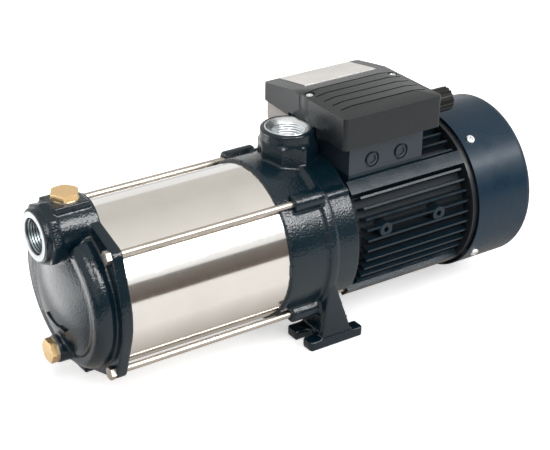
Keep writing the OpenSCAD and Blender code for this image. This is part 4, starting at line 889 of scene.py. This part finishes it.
bpy.ops.mesh.extrude_region_move(
    TRANSFORM_OT_translate={"value": tuple(forward * ARROW_HEAD_L)})
bpy.ops.transform.resize(value=(ARROW_POINT, ARROW_POINT, 1.0), center_override=tuple(point))
bpy.ops.object.mode_set(mode="OBJECT")
outward(arrow)
print("arrow head faces chosen:", count)

# %% [markdown]
# The dome is the cap of a large ball, so the arrow leans with it: it is laid on a plane
# that touches the ball below the shaft's axis.

# %% Lay the arrow on the dome
CROWN_R = 124 * MM
ARROW_DROP = 24.5 * MM
ARROW_CENTRE_Y = -6.2 * MM
ARROW_CENTRE_Z = 94.7 * MM
ARROW_START = math.radians(-125.2)
ARROW_BEVEL = 0.3 * MM
DOME_FRONT_X = -243.0 * MM

lean = math.asin(ARROW_DROP / CROWN_R)
touch_x = DOME_FRONT_X + CROWN_R * (1 - math.cos(lean))
facing = Matrix(((0, 0, -1, 0), (-1, 0, 0, 0), (0, 1, 0, 0), (0, 0, 0, 1)))
arrow.matrix_world = (
    Matrix.Translation(Vector((touch_x, 0, SHAFT_Z - ARROW_DROP)))
    @ Matrix.Rotation(-lean, 4, "Y")
    @ Matrix.Translation(Vector((0, ARROW_CENTRE_Y, ARROW_CENTRE_Z - SHAFT_Z + ARROW_DROP)))
    @ facing @ Matrix.Rotation(ARROW_START, 4, "Z"))
bpy.context.view_layer.update()
settle(arrow)
outward(arrow)
apply_modifier(arrow, "BEVEL", width=ARROW_BEVEL, segments=2, limit_method="ANGLE")
smooth_by_angle(arrow, degrees=40)
arrow.data.materials.append(casting_paint)
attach(arrow, HOUSING)
print("the arrow leans", round(math.degrees(lean), 1), "degrees")

# %% [markdown]
# The camera stands where the photograph's camera stood. Its place, direction, roll and
# lens were worked out from points on the pump whose real places are known.

# %% Camera
CAMERA_TURN = math.radians(-34.33)
CAMERA_RISE = math.radians(26.97)
CAMERA_ROLL = math.radians(0.82)
CAMERA_PLACE = Vector((-0.71216, -1.00876, 0.71731))
FOCAL_PIXELS = 1553.82
IMAGE_WIDTH = 550
SENSOR_MM = 36.0

back = Vector((math.sin(CAMERA_TURN) * math.cos(CAMERA_RISE),
               -math.cos(CAMERA_TURN) * math.cos(CAMERA_RISE), math.sin(CAMERA_RISE)))
right = Vector((math.cos(CAMERA_TURN), math.sin(CAMERA_TURN), 0))
up = back.cross(right)
cos_roll, sin_roll = math.cos(CAMERA_ROLL), math.sin(CAMERA_ROLL)
rolled_right = right * cos_roll + up * sin_roll
rolled_up = up * cos_roll - right * sin_roll
axes = Matrix((rolled_right, rolled_up, back)).transposed().to_4x4()

camera_data = bpy.data.cameras.new("photo_camera")
camera_data.sensor_fit = "HORIZONTAL"
camera_data.sensor_width = SENSOR_MM
camera_data.lens = FOCAL_PIXELS / IMAGE_WIDTH * SENSOR_MM
camera = bpy.data.objects.new("photo_camera", camera_data)
camera.matrix_world = Matrix.Translation(CAMERA_PLACE) @ axes
bpy.context.scene.collection.objects.link(camera)
bpy.context.scene.camera = camera
print("lens:", round(camera_data.lens, 1))

# %% [markdown]
# The photograph is a studio shot on white. The world is white for the camera and for
# mirrors, and dimmer for the light that it gives, so that shaded sides keep some depth.

# %% World
WORLD_LIGHT = 0.55

world = bpy.data.worlds.new("studio")
bpy.context.scene.world = world
world.use_nodes = True
tree = world.node_tree
background = tree.nodes["Background"]
light_path = tree.nodes.new("ShaderNodeLightPath")
seen = math_node(tree, "MAXIMUM", light_path.outputs["Is Camera Ray"],
                 math_node(tree, "MAXIMUM", light_path.outputs["Is Glossy Ray"],
                           light_path.outputs["Is Transmission Ray"]))
background.inputs["Color"].default_value = (1, 1, 1, 1)
tree.links.new(spread(tree, seen, 0.0, 1.0, WORLD_LIGHT, 1.0), background.inputs["Strength"])
print("the world gives", WORLD_LIGHT, "of its white as light")

# %% [markdown]
# Three area lamps stand for the studio's soft boxes: the key from the left, a long one in
# front for the highlights along the edges, and one overhead. The one overhead would show
# as a hard patch in the barrel, so it gives light without being mirrored.

# %% Lamps
def area_lamp(name, place, target, size, power):
    """A rectangular lamp that points at a target."""
    data = bpy.data.lights.new(name, "AREA")
    data.shape = "RECTANGLE"
    data.size, data.size_y = size
    data.energy = power
    lamp = bpy.data.objects.new(name, data)
    aim = (Vector(target) - Vector(place)).to_track_quat("-Z", "Y")
    lamp.matrix_world = Matrix.Translation(Vector(place)) @ aim.to_matrix().to_4x4()
    bpy.context.scene.collection.objects.link(lamp)
    return lamp


# Place, target and size in metres, power in watts.
area_lamp("key_lamp", (-0.9, -1.0, 1.3), (0, 0, 0.1), (0.7, 0.7), 12)
area_lamp("front_lamp", (0.75, -1.10, 0.92), (0.1, 0, 0.1), (1.7, 0.28), 13)
top_lamp = area_lamp("top_lamp", (0.3, 0.2, 1.6), (0, 0, 0.1), (1.6, 0.5), 10)
top_lamp.visible_glossy = False
print("lamps:", [lamp.name for lamp in bpy.data.lights])

# %% [markdown]
# The floor isn't part of the pump. It keeps the pump's shadow, and it glows a little for
# the camera alone, so that it stays as white there as the photograph's background.

# %% Floor
FLOOR_SIZE = 12.0
FLOOR_Z = -0.2 * MM
FLOOR_GLOW = 0.5

bpy.ops.object.select_all(action="DESELECT")
bpy.ops.mesh.primitive_plane_add(size=FLOOR_SIZE, location=(0, 0, FLOOR_Z))
floor = start_piece("floor")
settle(floor)
floor_white, tree, shader, coords = new_material(
    "floor_white", Roughness=0.9, Emission_Strength=FLOOR_GLOW)
add_tint(tree, shader, coords, 2.0, (0.92, 0.92, 0.92), (0.9016, 0.9016, 0.9016))
camera_ray = tree.nodes.new("ShaderNodeLightPath").outputs["Is Camera Ray"]
tree.links.new(camera_ray, shader.inputs["Emission Color"])
floor.data.materials.append(floor_white)
print("floor:", FLOOR_SIZE, "m wide")

# %% [markdown]
# A mirror needs something to look at, or it looks like paper. The cards are seen only in
# reflections: dark in front for the band on the barrel, a bright strip above it for the
# small highlights of the castings, grey overhead and on the floor for the barrel's upper
# and lower part, and two on the floor behind the left end, which the dome mirrors.

# %% Reflection cards
def reflection_card(name, centre, size, tilt, axis, reach, low_tone, high_tone):
    """A card for reflections, with its tone changing along an axis."""
    bpy.ops.object.select_all(action="DESELECT")
    bpy.ops.mesh.primitive_plane_add(size=1.0, location=centre,
                                     rotation=(math.radians(tilt), 0, 0))
    card = start_piece(name)
    card.scale = (size[0], size[1], 1.0)
    settle(card)
    material, tree, shader, coords = new_material(
        name + "_tone", Roughness=1.0, Emission_Strength=1.0, Base_Color=(0, 0, 0, 1))
    parts = tree.nodes.new("ShaderNodeSeparateXYZ")
    tree.links.new(coords, parts.inputs[0])
    share = spread(tree, parts.outputs[axis], *reach, 0.0, 1.0)
    tree.links.new(mix_colours(tree, share, low_tone, high_tone),
                   shader.inputs["Emission Color"])
    card.data.materials.append(material)
    card.visible_camera = card.visible_diffuse = card.visible_shadow = False


# Name, centre and size in metres and tilt in degrees, then the axis along which the tone
# changes, where on it the change starts and ends, and the tones at both ends.
CARDS = (
    ("front_card", (1.0, -1.109, 0.281), (3.6, 0.912), -38.1,
     "Y", (-0.80, -1.45), (0.095, 0.066, 0.050), (0.145, 0.135, 0.115)),
    ("strip_card", (0.36, -1.07, 1.15), (0.92, 0.54), 45.5,
     "X", (0.70, 0.82), (12.0, 12.0, 12.0), (6.0, 6.0, 6.0)),
    ("ceiling_card", (1.2, 1.1, 1.9), (5.0, 5.9), 0,
     "Y", (-1.5, 0.9), (1.0, 0.98, 0.94), (0.70, 0.68, 0.64)),
    ("floor_card", (1.075, -0.40, 0.001), (2.85, 0.80), 0,
     "Y", (-0.14, -0.03), (0.98, 0.945, 0.91), (0.40, 0.365, 0.325)),
    ("side_card", (-1.05, -0.62, 0.001), (1.3, 1.2), 0,
     "Y", (-0.25, 0.05), (0.03, 0.03, 0.03), (0.5, 0.5, 0.5)),
    ("sheen_card", (-0.56, 0.26, 0.001), (0.50, 0.54), 0,
     "Y", (0.0, 0.11), (1.0, 1.0, 1.0), (4.7, 4.7, 4.7)),
)
for card_values in CARDS:
    reflection_card(*card_values)
print("cards:", [card_values[0] for card_values in CARDS])

# %% [markdown]
# The last cell sets the Standard view transform.

# %% Finish
bpy.context.scene.view_settings.view_transform = "Standard"
